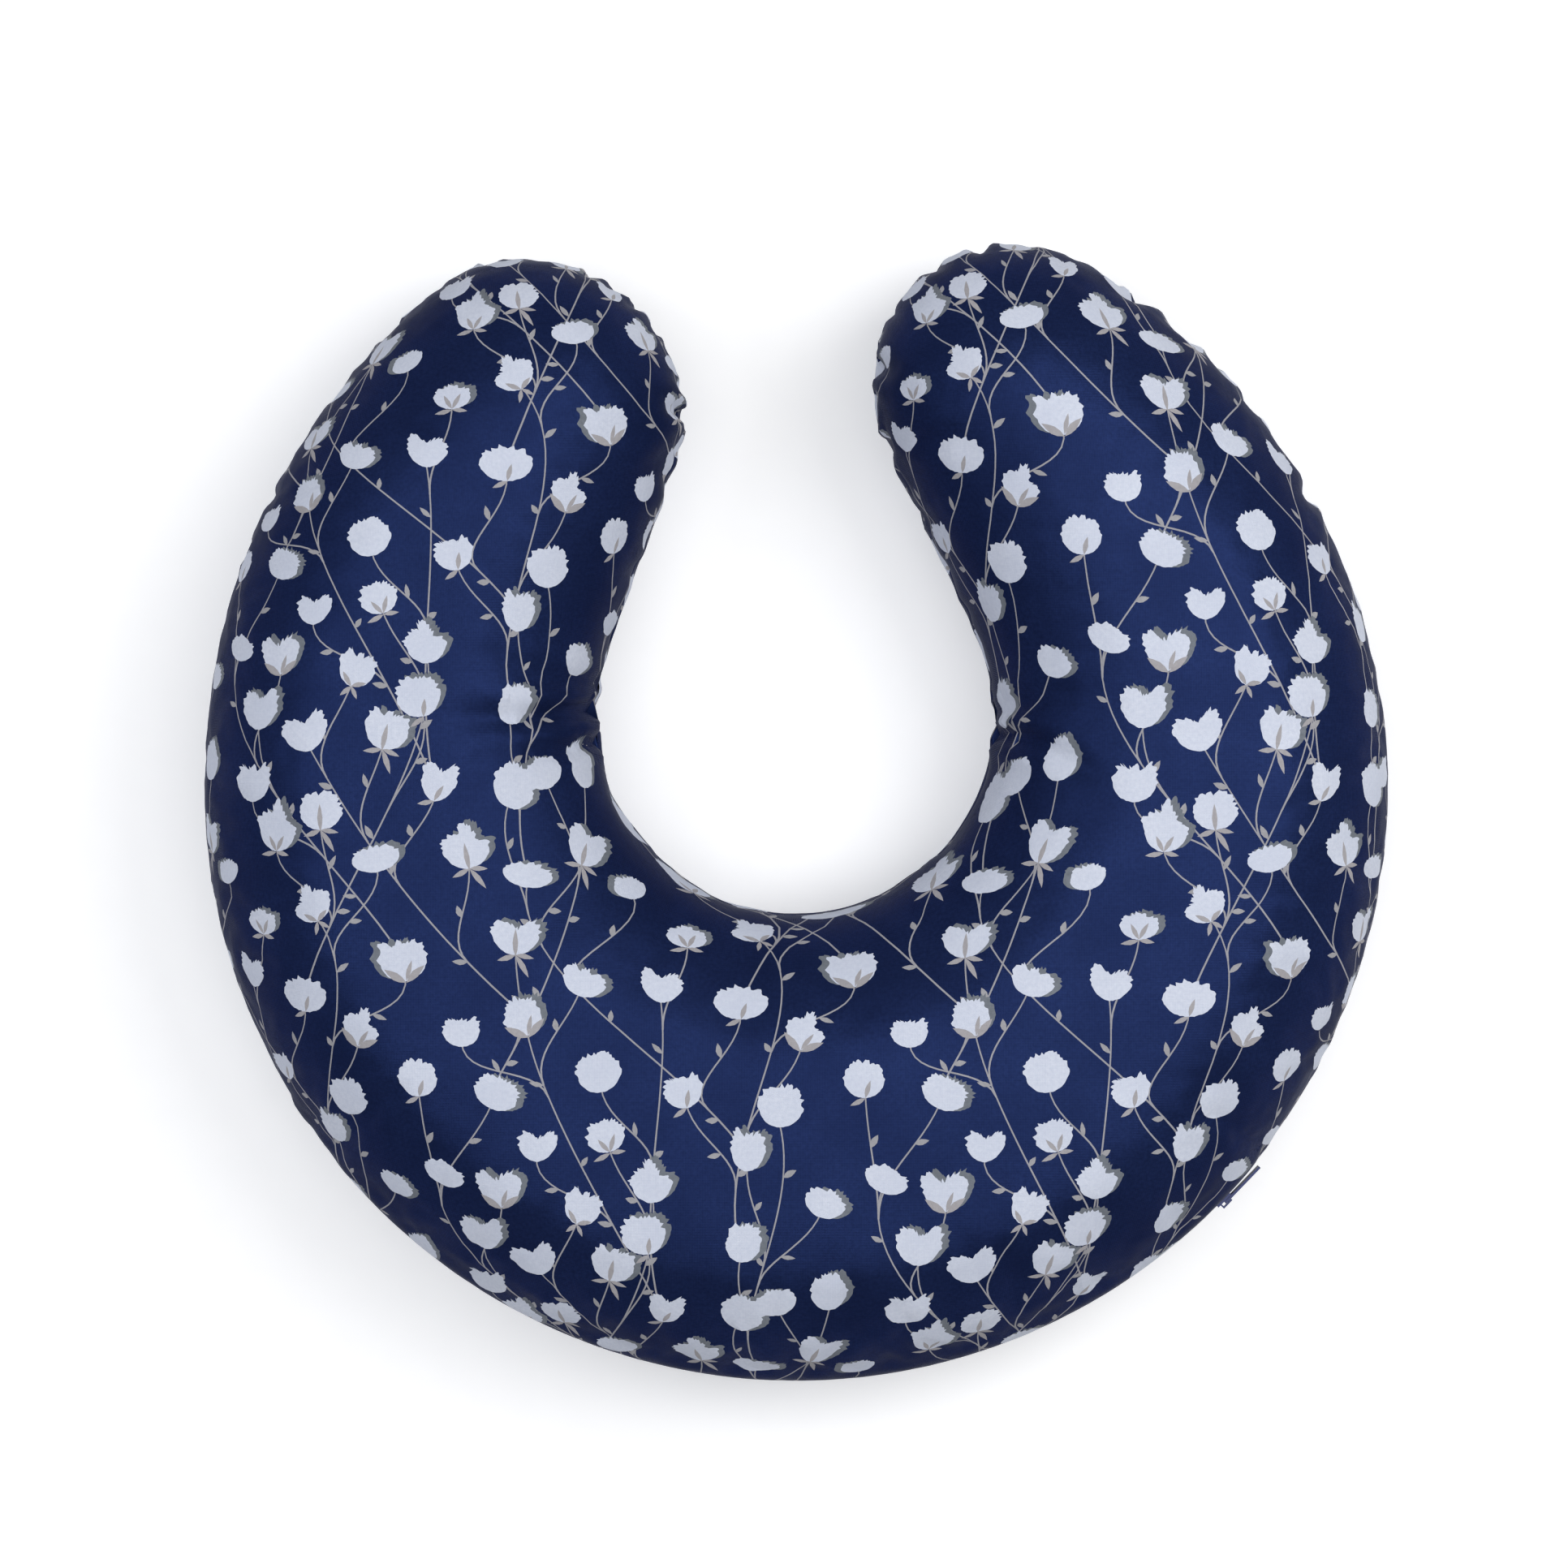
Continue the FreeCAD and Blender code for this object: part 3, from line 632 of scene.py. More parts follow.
def seam_tightness(point):
    """How strongly the seam gathers the cloth at a point of the flat edge: most at the tips."""
    if slot_opening(point[None])[0] > 0:
        return 0.0
    at_tip = np.clip((point[1] - CENTRE[1] - TIP_START) / TIP_LENGTH, 0, 1)
    at_waist = np.linalg.norm(point - CENTRE) < BASE_RADIUS * WAIST_SIDE
    return TIGHT_EVERYWHERE + TIGHT_AT_TIPS * at_tip + TIGHT_AT_WAIST * at_waist


def pucker_list():
    """Place along the seam, width, depth, and for each panel the length and lean of every pucker."""
    edge_length = np.linalg.norm(pattern_edge - np.roll(pattern_edge, -1, axis=0), axis=1).sum()
    made, place = [], 0.0
    while place < edge_length:
        place += PUCKER_SPACING * pucker_random.uniform(*PUCKER_GAPS)
        depth = pucker_random.choice(PUCKER_DEPTHS)
        width = pucker_random.uniform(*PUCKER_WIDTHS)
        ways = {side: (pucker_random.uniform(*PUCKER_LENGTHS), pucker_random.uniform(*PUCKER_LEANS))
                for side in (1, -1)}
        index = min(int(place / edge_length * edge_count), edge_count - 1)
        strength = seam_tightness(pattern_edge[index])
        if strength > 0:
            made.append((place, width, depth * strength, ways))
    return made


def valley(across, bank_height, bank_place):
    """Depth of a valley of depth 1 and half width 1, with a low bank on both sides."""
    return np.exp(-across ** 2) - bank_height * np.exp(-(np.abs(across) - bank_place) ** 2)


def pressed(points, side, places, normals):
    """Press the puckers, the folds and the seam's groove into carried places."""
    gap, _, along = edge_distance(points, pattern_edge)
    depth = np.zeros(len(points))
    for place, width, pucker_depth, ways in PUCKERS:
        length, lean = ways[side]
        near = (np.abs(along - place) < PUCKER_REACH) & (gap < length)
        share = np.clip(gap[near] / length, 0, 1)
        across = (along[near] - place - lean * gap[near]) / (width * (1 + share))
        fading = (1 - share) ** 2 * (1 + 2 * share)
        depth[near] += pucker_depth * fading * valley(across, *PUCKER_BANKS)
    for start, end, width, fold_depth in FOLDS[side]:
        run = np.subtract(end, start)
        length = np.linalg.norm(run)
        offset = places[:, :2] - start
        share = np.clip(offset @ run / length ** 2, FOLD_BEFORE_START, 1)
        bend = FOLD_BEND * np.sin(share * FOLD_BEND_TURN)
        sideways = cross2(offset, np.broadcast_to(run, offset.shape)) / length + bend
        across = sideways / (width * (1 + FOLD_SPREAD * share))
        fading = np.where(share > 0, 1 - share, np.clip(1 + share * FOLD_ONSET, 0, 1))
        depth += fold_depth * fading * valley(across, *FOLD_BANKS)
    sewn = 1 - np.clip(slot_opening(points) / SLOT_HALF * GROOVE_STOP, 0, 1)
    depth += SEAM_GROOVE * sewn * np.exp(-(gap / SEAM_GROOVE_WIDTH) ** 2)
    return places - normals * depth[:, None]


def laid(points, side):
    """Place, with puckers and folds, and outward direction on the pillow for flat points of one panel."""
    places, normals = carried(points, side)
    return pressed(points, side, places, normals), normals


PUCKERS = pucker_list()
print(f"{len(PUCKERS)} puckers along the seam")

# %% [markdown]
# ## The print
#
# The cloth is printed with cotton bolls on thin branching stems. Real fabric repeats its print, so the
# design is one tile that is laid out again and again on two slanted steps. Each boll is a ragged tuft, half
# of them with a grey shade printed beside them, and most of them with grey leaves at the foot.

# %% Shapes of the print
# Each tuft is a ring of points about its foot.
TUFTS = [
    [(-3, 0.5), (-8.5, 3), (-12.5, 9), (-11, 15.5), (-7, 19.5), (-2, 20.5), (3, 19.6), (8.5, 18.5),
     (12, 13.5), (12, 7.5), (8, 2.5), (3, 0.3)],
    [(-2, 0), (-8, 2.5), (-12.5, 8), (-13, 14), (-9, 17.5), (-3.5, 16.5), (0.5, 14.5), (4, 16), (8.5, 19),
     (12.5, 16.5), (12.8, 10), (8.5, 3.5), (3, 0.4)],
    [(-2, 0), (-9, 1.8), (-14, 6.5), (-13.5, 11), (-8, 14), (-1, 15.5), (6, 14.5), (12, 12.6), (14.5, 7.5),
     (11, 2.8), (4, 0.2)],
    [(-3, 0.3), (-9.5, 3.2), (-13, 9), (-11.5, 14.5), (-7.5, 17.2), (-3.5, 16.2), (0.5, 17.4), (5, 15.6),
     (8.5, 18.4), (12, 15.4), (13, 9.5), (9.5, 3.2), (3, 0.2)],
    [(-3, 0.3), (-9, 2.8), (-13, 8), (-12.4, 12.5), (-7, 14.5), (-5, 19), (-2, 23), (2.2, 22.6), (3.6, 19),
     (8, 18.2), (13, 14.5), (12.5, 9), (9, 3.5), (3, 0.3)],
]
# Each leaf at a foot has a base, a tip and a width.
LEAF_SETS = [
    [((0, -0.5), (-9.5, -2.5), 3.0), ((0, -0.5), (8, -1.5), 2.8), ((0, 0), (-4.4, 8), 2.8),
     ((0, 0), (4.8, 8.6), 2.8)],
    [((0, -1), (-0.4, 13.5), 3.2), ((0, 0), (-9.5, -3.2), 3.2), ((0, 0), (9.5, -1.5), 3.0),
     ((0, 0), (7, -11.5), 3.4)],
    [((0, -1), (-10.5, 7.5), 4.6), ((0, -1), (10.5, 6.5), 4.4), ((0, 0), (4.5, 10), 2.8)],
    [((0, 0), (-6.5, 6), 3.0), ((0, 0), (7, 4), 3.0), ((0, 0), (-4, -6.5), 2.8), ((0, 0), (5, -5.5), 2.6)],
    [((0, 0), (-8, -3.5), 3.0), ((0, 0), (3, 9), 3.0)],
    None,
    None,
    None,
]
# How far along a leaf, and how much of its half width it has there.
LEAF_RISE = [(0.25, 0.75), (0.5, 1.0), (0.78, 0.6)]
LEANER_SIDE = 0.8


def smooth_loop(points, per_span):
    """A rounded closed line through points."""
    points = np.array(points, float)
    before, after, beyond = (np.roll(points, shift, axis=0) for shift in (1, -1, -2))
    loop = []
    for share in np.arange(per_span) / per_span:
        loop.append(0.5 * (2 * points + (after - before) * share
                           + (2 * before - 5 * points + 4 * after - beyond) * share ** 2
                           + (3 * points - before - 3 * after + beyond) * share ** 3))
    return np.stack(loop, axis=1).reshape(-1, 2)


def anticlockwise(loop):
    """The same closed line, turned so that it runs anticlockwise."""
    return loop if cross2(loop, np.roll(loop, -1, axis=0)).sum() > 0 else loop[::-1]


def placed(loop, place, tilt):
    """A shape tilted and moved."""
    turn = np.array([[math.cos(tilt), math.sin(tilt)], [-math.sin(tilt), math.cos(tilt)]])
    return loop @ turn + place


def leaf(base, tip, width):
    """A pointed leaf from its base to its tip, a little fuller on one side."""
    base, tip = np.array(base, float), np.array(tip, float)
    run = tip - base
    across = np.array([-run[1], run[0]]) / np.linalg.norm(run) * width / 2
    left = [base + run * share + across * full for share, full in LEAF_RISE]
    right = [base + run * share - across * full * LEANER_SIDE for share, full in reversed(LEAF_RISE)]
    return np.array([base, *right[::-1], tip, *left[::-1]])


# %% [markdown]
# The bolls of one tile are scattered by trying many places for each and keeping the one that is farthest
# from the others. Each boll then draws its own tilt, size, tuft, leaves, shade and ragged edge.

# %% One tile of the print
REPEAT = np.array([(212.0, 0.0), (106.0, 256.0)])
BOLLS_A_TILE = 40
LEADERS_A_TILE = 9
TRIES = 22
LONGEST_TILT = 24
BOLL_WIDTHS = (0.62, 0.9)
BOLL_HEIGHTS = (0.76, 1.1)
SHADE_SIDES = [-1, 0, 1, 0, 1, 0]
ROUGH_POINTS = 80
FAR_AWAY = 1e3
print_random = random.Random(21)
NEIGHBOURS = [REPEAT[0] * i + REPEAT[1] * j for i in (-2, -1, 0, 1, 2) for j in (-1, 0, 1)]


def nearest_boll(place, others):
    """Distance to the nearest boll, counting the neighbouring tiles."""
    return min((np.linalg.norm(place - other - step) for other in others for step in NEIGHBOURS),
               default=FAR_AWAY)


def scattered():
    """Places of the bolls' feet in one tile."""
    places = []
    for _ in range(BOLLS_A_TILE):
        tries = [print_random.random() * REPEAT[0] + print_random.random() * REPEAT[1] for _ in range(TRIES)]
        places.append(max(tries, key=lambda place: nearest_boll(place, places)))
    return places


def drawn_boll(place):
    """Everything that is chosen by chance for one boll."""
    return {
        "foot": place,
        "tilt": math.radians(print_random.uniform(-LONGEST_TILT, LONGEST_TILT)),
        "width": print_random.uniform(*BOLL_WIDTHS) * print_random.choice([-1, 1]),
        "height": print_random.uniform(*BOLL_HEIGHTS),
        "tuft": print_random.choice(TUFTS),
        "leaves": print_random.choice(LEAF_SETS),
        "shade": print_random.choice(SHADE_SIDES),
        "rough": [print_random.uniform(-1, 1) for _ in range(ROUGH_POINTS)],
    }


BOLLS = [drawn_boll(place) for place in scattered()]
boll_gaps = [nearest_boll(boll["foot"], [other["foot"] for other in BOLLS if other is not boll])
             for boll in BOLLS]
print(f"{len(BOLLS)} bolls a tile, nearest two {min(boll_gaps):.0f} mm apart")

# %% [markdown]
# The first few bolls are leaders: a long main stem runs down from each. Every other boll has a branch that
# leaves a main stem at a sharp angle, as the branches of a plant do, and bends up to the boll.

# %% Stems of one tile
STEM_UNDER = 3
STEM_SLANT = 36
STEM_DROP = 150.0
STEM_SWAY = 18
STEM_HANDLES = (45, 0.35)
STEM_POINTS = 26
BEHIND_TUFT = 8
BRANCH_LENGTH = 48.0
BRANCH_HANDLES = (0.4, 0.35)
BRANCH_POINTS = 13
BRANCH_SLANT = 34
SLANT_COST = 1.2
STEM_ENDS = [0, 1, 2, -1, -2]
NEVER = 1e9
RIBBON_HALVES = (0.42, 0.56)


def bent_line(start, first, second, end, count):
    """Points along a curve that starts towards its first handle and ends from its second."""
    share = np.linspace(0, 1, count)[:, None]
    return ((1 - share) ** 3 * start + 3 * (1 - share) ** 2 * share * first
            + 3 * (1 - share) * share ** 2 * second + share ** 3 * end)


def under_tuft(boll):
    """Where a stem starts, hidden by the foot of its tuft, and the way it leaves."""
    away = np.array([math.sin(boll["tilt"]), -math.cos(boll["tilt"])])
    return boll["foot"] - away * STEM_UNDER, away


def main_stem(boll):
    """A long stem from a leading boll down to behind another boll."""
    start, away = under_tuft(boll)
    slant = math.radians(print_random.uniform(-STEM_SLANT, STEM_SLANT))
    aim = start + np.array([math.tan(slant), -1]) * STEM_DROP
    feet = [other["foot"] + step + np.array([0, BEHIND_TUFT]) for other in BOLLS for step in NEIGHBOURS]
    end = min(feet, key=lambda foot: np.linalg.norm(foot - aim))
    sway = np.array([print_random.uniform(-STEM_SWAY, STEM_SWAY), 0])
    leaving, arriving = STEM_HANDLES
    first, second = start + away * leaving + sway, end + (start - end) * arriving - sway
    return bent_line(start, first, second, end, STEM_POINTS)


def branch(boll, stems):
    """A branch from a boll to the main stem that it can reach most naturally."""
    start, away = under_tuft(boll)
    lowest = NEVER
    for stem in stems:
        for step in NEIGHBOURS:
            gap = stem + step - start
            reach = np.linalg.norm(gap, axis=1)
            slant = np.degrees(np.arctan2(np.abs(gap[:, 0]), -gap[:, 1]))
            score = np.abs(reach - BRANCH_LENGTH) + np.maximum(slant - BRANCH_SLANT, 0) * SLANT_COST
            score[STEM_ENDS] = NEVER
            index = int(score.argmin())
            if score[index] < lowest:
                lowest, length, end = score[index], reach[index], stem[index] + step
                upwards = lengthwise(stem[index - 1:index] - stem[index:index + 1])[0]
    leaving, arriving = BRANCH_HANDLES
    first, second = start + away * length * leaving, end + upwards * length * arriving
    return bent_line(start, first, second, end, BRANCH_POINTS)


def ribbon(line, width):
    """A narrow band along a line, as one closed loop, a little wider at its lower end."""
    run = lengthwise(np.gradient(line, axis=0))
    half = np.linspace(*RIBBON_HALVES, len(line))[:, None] * width
    across = np.stack([-run[:, 1], run[:, 0]], axis=1) * half
    return np.concatenate([line - across, (line + across)[::-1]])


main_stems = [main_stem(boll) for boll in BOLLS[:LEADERS_A_TILE]]
branches = [branch(boll, main_stems) for boll in BOLLS[LEADERS_A_TILE:]]
print(f"{len(main_stems)} main stems and {len(branches)} branches a tile")

# %% [markdown]
# The shapes go down in the order of a screen print: stems first, then small leaves, the grey shade, the
# pale tuft, and the leaves at its foot last. Each shape keeps the number of its ink.

# %% Inks and shapes of one tile
GROUND, STEM, LEAF, SHADE, TUFT, FOOT_LEAF = range(6)
STEM_WIDTH = 0.8
LEAF_SHARE = 0.92
SHADE_SHIFT = np.array([3.2, 1.3])
ROUGH_EDGE = 1.5
ROUGH_FROM = 6.0
ROUGH_RISE = 6
ROUGH_LEAST = 0.12
TUFT_STEPS = 5
LEAF_STEP = 34.0
FIRST_LEAF = (0.55, 0.9)
NEXT_LEAF = (0.8, 2.0)
BARE_END = 12
LEAF_ANGLES = (34, 60)
LEAF_LENGTHS = (5.5, 8)
LEAF_WIDTHS = (2.6, 3.6)


def tuft_loop(boll):
    """The outline of one tuft about its foot: smooth below, ragged on top."""
    loop = smooth_loop(boll["tuft"], TUFT_STEPS)
    outward = lengthwise(loop - loop.mean(axis=0))
    share = np.clip((loop[:, 1] - ROUGH_FROM) / ROUGH_RISE, ROUGH_LEAST, 1)
    rough = np.array(boll["rough"][:len(loop)]) * ROUGH_EDGE * share
    return (loop + outward * rough[:, None]) * [boll["width"], boll["height"]]


def boll_shapes(boll):
    """The shapes of one boll, each with its ink."""
    foot, tilt = boll["foot"], boll["tilt"]
    tuft = tuft_loop(boll)
    shapes = [(TUFT, placed(tuft, foot, tilt))]
    if boll["shade"]:
        shapes.append((SHADE, placed(tuft + SHADE_SHIFT * [boll["shade"], 1], foot, tilt)))
    for base, tip, width in boll["leaves"] or []:
        shapes.append((FOOT_LEAF, placed(leaf(base, tip, width) * LEAF_SHARE, foot, tilt)))
    return shapes


def stem_shapes(line):
    """A stem and the small leaves along it."""
    shapes = [(STEM, ribbon(line, STEM_WIDTH))]
    lengths = np.concatenate([[0], np.cumsum(np.linalg.norm(np.diff(line, axis=0), axis=1))])
    place, sign = LEAF_STEP * print_random.uniform(*FIRST_LEAF), print_random.choice([-1, 1])
    while place < lengths[-1] - BARE_END:
        index = int(np.searchsorted(lengths, place))
        run = line[index - 1] - line[index]
        heading = math.atan2(run[1], run[0]) + sign * math.radians(print_random.uniform(*LEAF_ANGLES))
        tip = line[index] + direction(heading) * print_random.uniform(*LEAF_LENGTHS)
        shapes.append((LEAF, leaf(line[index], tip, print_random.uniform(*LEAF_WIDTHS))))
        place, sign = place + LEAF_STEP * print_random.uniform(*NEXT_LEAF), -sign
    return shapes


TILE = [shape for boll in BOLLS for shape in boll_shapes(boll)]
TILE += [shape for line in main_stems + branches for shape in stem_shapes(line)]
print(f"{len(TILE)} shapes a tile")

# %% [markdown]
# A printed panel is one mesh that is cut along the outlines of the print. The print then stays sharp at any
# distance, and each ink is a material of its own. The tile is laid over the whole panel, the Delaunay
# function cuts all the shapes into one net, and it says which shapes each triangle lies in. The lower panel
# is cut from another part of the same cloth.

# %% Cutting a printed panel
CLOTH_GRID = 3.6
EDGE_SPACING = 3.0
EDGE_MARGIN = 0.6
NEAR_PRINT = 1.4
PRINT_MERGE = 1e-4
TILES_ACROSS = range(-4, 5)
TILES_UP = range(-3, 4)
PANEL_REACH = 380
TILE_START = {1: np.array([-18.0, 30.0]), -1: np.array([64.0, -70.0])}
fine_edge = outline(PATTERN_OUTSET, EDGE_SPACING)


def shapes_on_panel(side):
    """The shapes of the print that lie at least partly on a panel."""
    kept = []
    for i in TILES_ACROSS:
        for j in TILES_UP:
            step = REPEAT[0] * i + REPEAT[1] * j + TILE_START[side]
            for ink, loop in TILE:
                moved = loop + step
                if np.abs(moved).min(axis=0).max() < PANEL_REACH:
                    kept.append((ink, moved))
    middles = np.array([loop.mean(axis=0) for ink, loop in kept])
    inside, _, _ = edge_distance(middles, pattern_edge)
    reach = [np.linalg.norm(loop - loop.mean(axis=0), axis=1).max() for ink, loop in kept]
    return [shape for shape, gap, far in zip(kept, inside, reach) if gap > -far]


def cut_panel(side):
    """Flat points, triangles and the ink of each triangle of one panel."""
    shapes = shapes_on_panel(side)
    mirror = np.array([side, 1])
    loops = [fine_edge] + [anticlockwise(loop * mirror) for ink, loop in shapes]
    inks = np.array([GROUND] + [ink for ink, loop in shapes])
    drawn = np.concatenate(loops)
    taken = {cell for dx in (-1, 0, 1) for dy in (-1, 0, 1)
             for cell in map(tuple, (np.round(drawn / NEAR_PRINT).astype(int) + (dx, dy)))}
    grid = hex_points(CLOTH_GRID, pattern_edge, EDGE_SPACING * EDGE_MARGIN)
    free = [tuple(cell) not in taken for cell in np.round(grid / NEAR_PRINT).astype(int)]
    starts = np.cumsum([0] + [len(loop) for loop in loops])
    faces = [list(range(start, start + len(loop))) for start, loop in zip(starts, loops)]
    points = np.concatenate([drawn, grid[free]])
    cut_points, _, cut_faces, _, _, owners = delaunay_2d_cdt(
        [Vector(point) for point in points], [], faces, INSIDE_ONLY, PRINT_MERGE, True)
    inside = [index for index, owned in enumerate(owners) if 0 in owned]
    triangles = np.array([cut_faces[index] for index in inside])
    ink_of = np.array([inks[owners[index]].max() for index in inside])
    used, triangles = np.unique(triangles, return_inverse=True)
    flat = np.array([cut_points[index] for index in used])
    print(f"panel {side:+d}: {len(shapes)} shapes, {len(flat)} points, {len(inside)} triangles")
    return flat, triangles.reshape(-1, 3), ink_of

# %% [markdown]
# ## The printed cloth
#
# The cloth is cotton sateen: most threads float on its face, so it is smooth and has a soft shine. The weft
# floats run one way, which shows as very fine ribs. Real threads lie about 0.25 mm apart, too fine to see
# here, so the ribs are drawn three times as coarse. The navy ground is dyed, and light that glances off the
# floats takes the dye's own colour, so a part of its shine is metallic; a dark tint keeps its slanting edges
# from going milky. The pale inks are pigment that covers the floats, so they are matt. Ink and dye take
# unevenly, so each of them varies a little over the cloth.

# %% Printed cotton sateen
THREAD_SPACING = 0.8
WAVE_PERIOD = 2 * math.pi / 20
COTTON_IOR = 1.5
FLOAT_GLOSS = 0.04
SLANTING_TINT = "5a6488"
SATEEN_RELIEF = 0.00012


def cotton(name, ink, worn_ink, roughness, shine, spacing=THREAD_SPACING):
    """A woven cotton in one ink, with uneven take-up and fine ribs; it reads the cloth's flat places."""
    material, shader = new_material(name)
    place = add_node(material, "ShaderNodeAttribute", {"attribute_name": "cut_place"}).outputs["Vector"]
    patches = add_node(material, "ShaderNodeTexNoise", Vector=place, Scale=0.022, Detail=3.0, Roughness=0.6)
    slubs = add_node(material, "ShaderNodeTexNoise", Vector=place, Scale=0.55, Detail=2.0)
    uneven = add_node(material, "ShaderNodeMath", {"operation": "MULTIPLY"}, i0=patches.outputs["Fac"],
                      i1=slubs.outputs["Fac"])
    level = add_node(material, "ShaderNodeMapRange", Value=uneven.outputs[0], i1=0.12, i2=0.42)
    colour = add_node(material, "ShaderNodeMix", {"data_type": "RGBA"}, i0=level.outputs[0], i6=linear(ink),
                      i7=linear(worn_ink))
    warp = add_node(material, "ShaderNodeTexWave", {"bands_direction": "X"}, Vector=place,
                    Scale=WAVE_PERIOD / spacing, Distortion=0.4, i4=2.0)
    weft = add_node(material, "ShaderNodeTexWave", {"bands_direction": "Y"}, Vector=place,
                    Scale=WAVE_PERIOD / spacing, Distortion=0.6, i4=2.0)
    threads = add_node(material, "ShaderNodeMath", {"operation": "MULTIPLY"}, i0=warp.outputs["Fac"],
                       i1=weft.outputs["Fac"])
    height = add_node(material, "ShaderNodeMath", {"operation": "MULTIPLY_ADD"}, i0=slubs.outputs["Fac"],
                      i1=0.6, i2=threads.outputs[0])
    bump = add_node(material, "ShaderNodeBump", Strength=0.5, Distance=SATEEN_RELIEF,
                    Height=height.outputs[0])
    gloss = add_node(material, "ShaderNodeMapRange", Value=slubs.outputs["Fac"], i3=roughness - 0.05,
                     i4=roughness + 0.06)
    plug_in(material, shader, colour, gloss, bump)
    shader.inputs["IOR"].default_value = COTTON_IOR
    shader.inputs["Specular IOR Level"].default_value = FLOAT_GLOSS
    shader.inputs["Metallic"].default_value = shine
    shader.inputs["Specular Tint"].default_value = linear(SLANTING_TINT)
    return material


# Each cloth has an ink, the same ink worn, a roughness and a metallic shine.
PRINTED_CLOTH = [
    cotton("sateen_navy_ground", "1a2549", "212e57", 0.42, 0.42),
    cotton("sateen_taupe_stem_ink", "96959a", "a4a3a8", 0.5, 0.0),
    cotton("sateen_taupe_leaf_ink", "98979b", "a6a5a9", 0.5, 0.0),
    cotton("sateen_grey_shade_ink", "6c7178", "7a7f87", 0.5, 0.0),
    cotton("sateen_pale_tuft_ink", "c6ccdc", "d4d9e6", 0.52, 0.0),
    cotton("sateen_foot_leaf_ink", "9e9b9e", "aba8ab", 0.5, 0.0),
]
print(f"{len(PRINTED_CLOTH)} inks on sateen")

# %% [markdown]
# Each panel is turned in at the seam by an overlocked allowance of 5 mm. Beside the zip the allowance is
# folded back flat behind the panel, where the tape is sewn to it. That gives the cloth's edge its thickness.

# %% Printed panels
ALLOWANCE = 5.0
ALLOWANCE_GAP = 0.3
FIRST_TURN = 1.0
FOLD_BACK = 8.0
FOLD_RISE = 0.2
CLOTH_THICKNESS = 0.45
EDGE_NEAR = 0.02
MAP_SIZE = 700.0
ALLOWANCE_ON_MAP = 5.0


def soft_object(name, places, faces, flat, materials, inks=None, normals=None):
    """A smooth cloth object with its flat places, its map and its inks."""
    mesh = bpy.data.meshes.new(name)
    mesh.from_pydata((places * MM).tolist(), [], [list(map(int, face)) for face in faces])
    for material in materials:
        mesh.materials.append(material)
    if inks is not None:
        mesh.polygons.foreach_set("material_index", np.asarray(inks, np.int32))
    attribute = mesh.attributes.new("cut_place", "FLOAT_VECTOR", "POINT")
    flat_places = np.column_stack([flat, np.zeros(len(flat))]).astype(np.float32)
    attribute.data.foreach_set("vector", flat_places.ravel())
    corner_points = np.empty(len(mesh.loops), np.int32)
    mesh.loops.foreach_get("vertex_index", corner_points)
    flat_map = mesh.uv_layers.new(name="OFBake")
    flat_map.data.foreach_set("uv", (flat[corner_points] / MAP_SIZE + 0.5).astype(np.float32).ravel())
    mesh.polygons.foreach_set("use_smooth", np.ones(len(mesh.polygons), bool))
    mesh.update()
    if normals is not None:
        mesh.normals_split_custom_set_from_vertices(normals.tolist())
    made = bpy.data.objects.new(name, mesh)
    bpy.context.collection.objects.link(made)
    return made


def seam_allowance(edge_flat, edge_places, edge_normals, side):
    """Two rows of points that turn the cloth in at the seam, or back behind the panel at the zip."""
    _, flat_inwards, _ = edge_distance(edge_flat, pattern_edge)
    level_outwards = lengthwise(edge_normals * [1, 1, 0])
    share = (slot_opening(edge_flat) / SLOT_HALF)[:, None]
    upright = np.array([0, 0, side])
    turned_in = edge_places - level_outwards * FIRST_TURN + upright * ALLOWANCE_GAP / 2
    turned_end = edge_places - level_outwards * ALLOWANCE + upright * ALLOWANCE_GAP
    folded = edge_places - edge_normals * CLOTH_THICKNESS + upright * FOLD_RISE
    behind = edge_flat + flat_inwards * FOLD_BACK
    places, normals = laid(behind, side)
    folded_end = places - normals * CLOTH_THICKNESS
    rows = [turned_in + (folded - turned_in) * share, turned_end + (folded_end - turned_end) * share]
    on_map = [edge_flat - flat_inwards * FIRST_TURN, edge_flat - flat_inwards * ALLOWANCE_ON_MAP]
    return rows, on_map


def printed_panel(name, side):
    """One panel of the cover, printed, stuffed and turned in at its edge."""
    flat, triangles, inks = cut_panel(side)
    places, normals = laid(flat, side)
    gap, _, along = edge_distance(flat, pattern_edge)
    edge = np.flatnonzero(gap < EDGE_NEAR)
    edge = edge[np.argsort(along[edge])]
    rows, on_map = seam_allowance(flat[edge], places[edge], normals[edge], side)
    first = len(places) + np.arange(len(edge))
    second = first + len(edge)
    hem = [np.column_stack([outer, np.roll(outer, -1), np.roll(inner, -1), inner])
           for outer, inner in ((edge, first), (first, second))]
    hem_triangles = np.concatenate([quad[:, corners] for quad in hem for corners in ([0, 2, 1], [0, 3, 2])])
    triangles = np.concatenate([triangles, hem_triangles])[:, ::side]
    inks = np.concatenate([inks, np.full(len(hem_triangles), GROUND)])
    places = np.concatenate([places, *rows])
    panel = soft_object(name, places, triangles, np.concatenate([flat, *on_map]), PRINTED_CLOTH, inks,
                        point_normals(places, triangles))
    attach(panel, "pillow")
    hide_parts(f"cover_{name}")
    print(f"{name}: {len(places)} points, {len(triangles)} triangles")
    return flat[edge], places[edge], normals[edge]


seam_edge = printed_panel("top_panel", 1)
printed_panel("bottom_panel", -1)

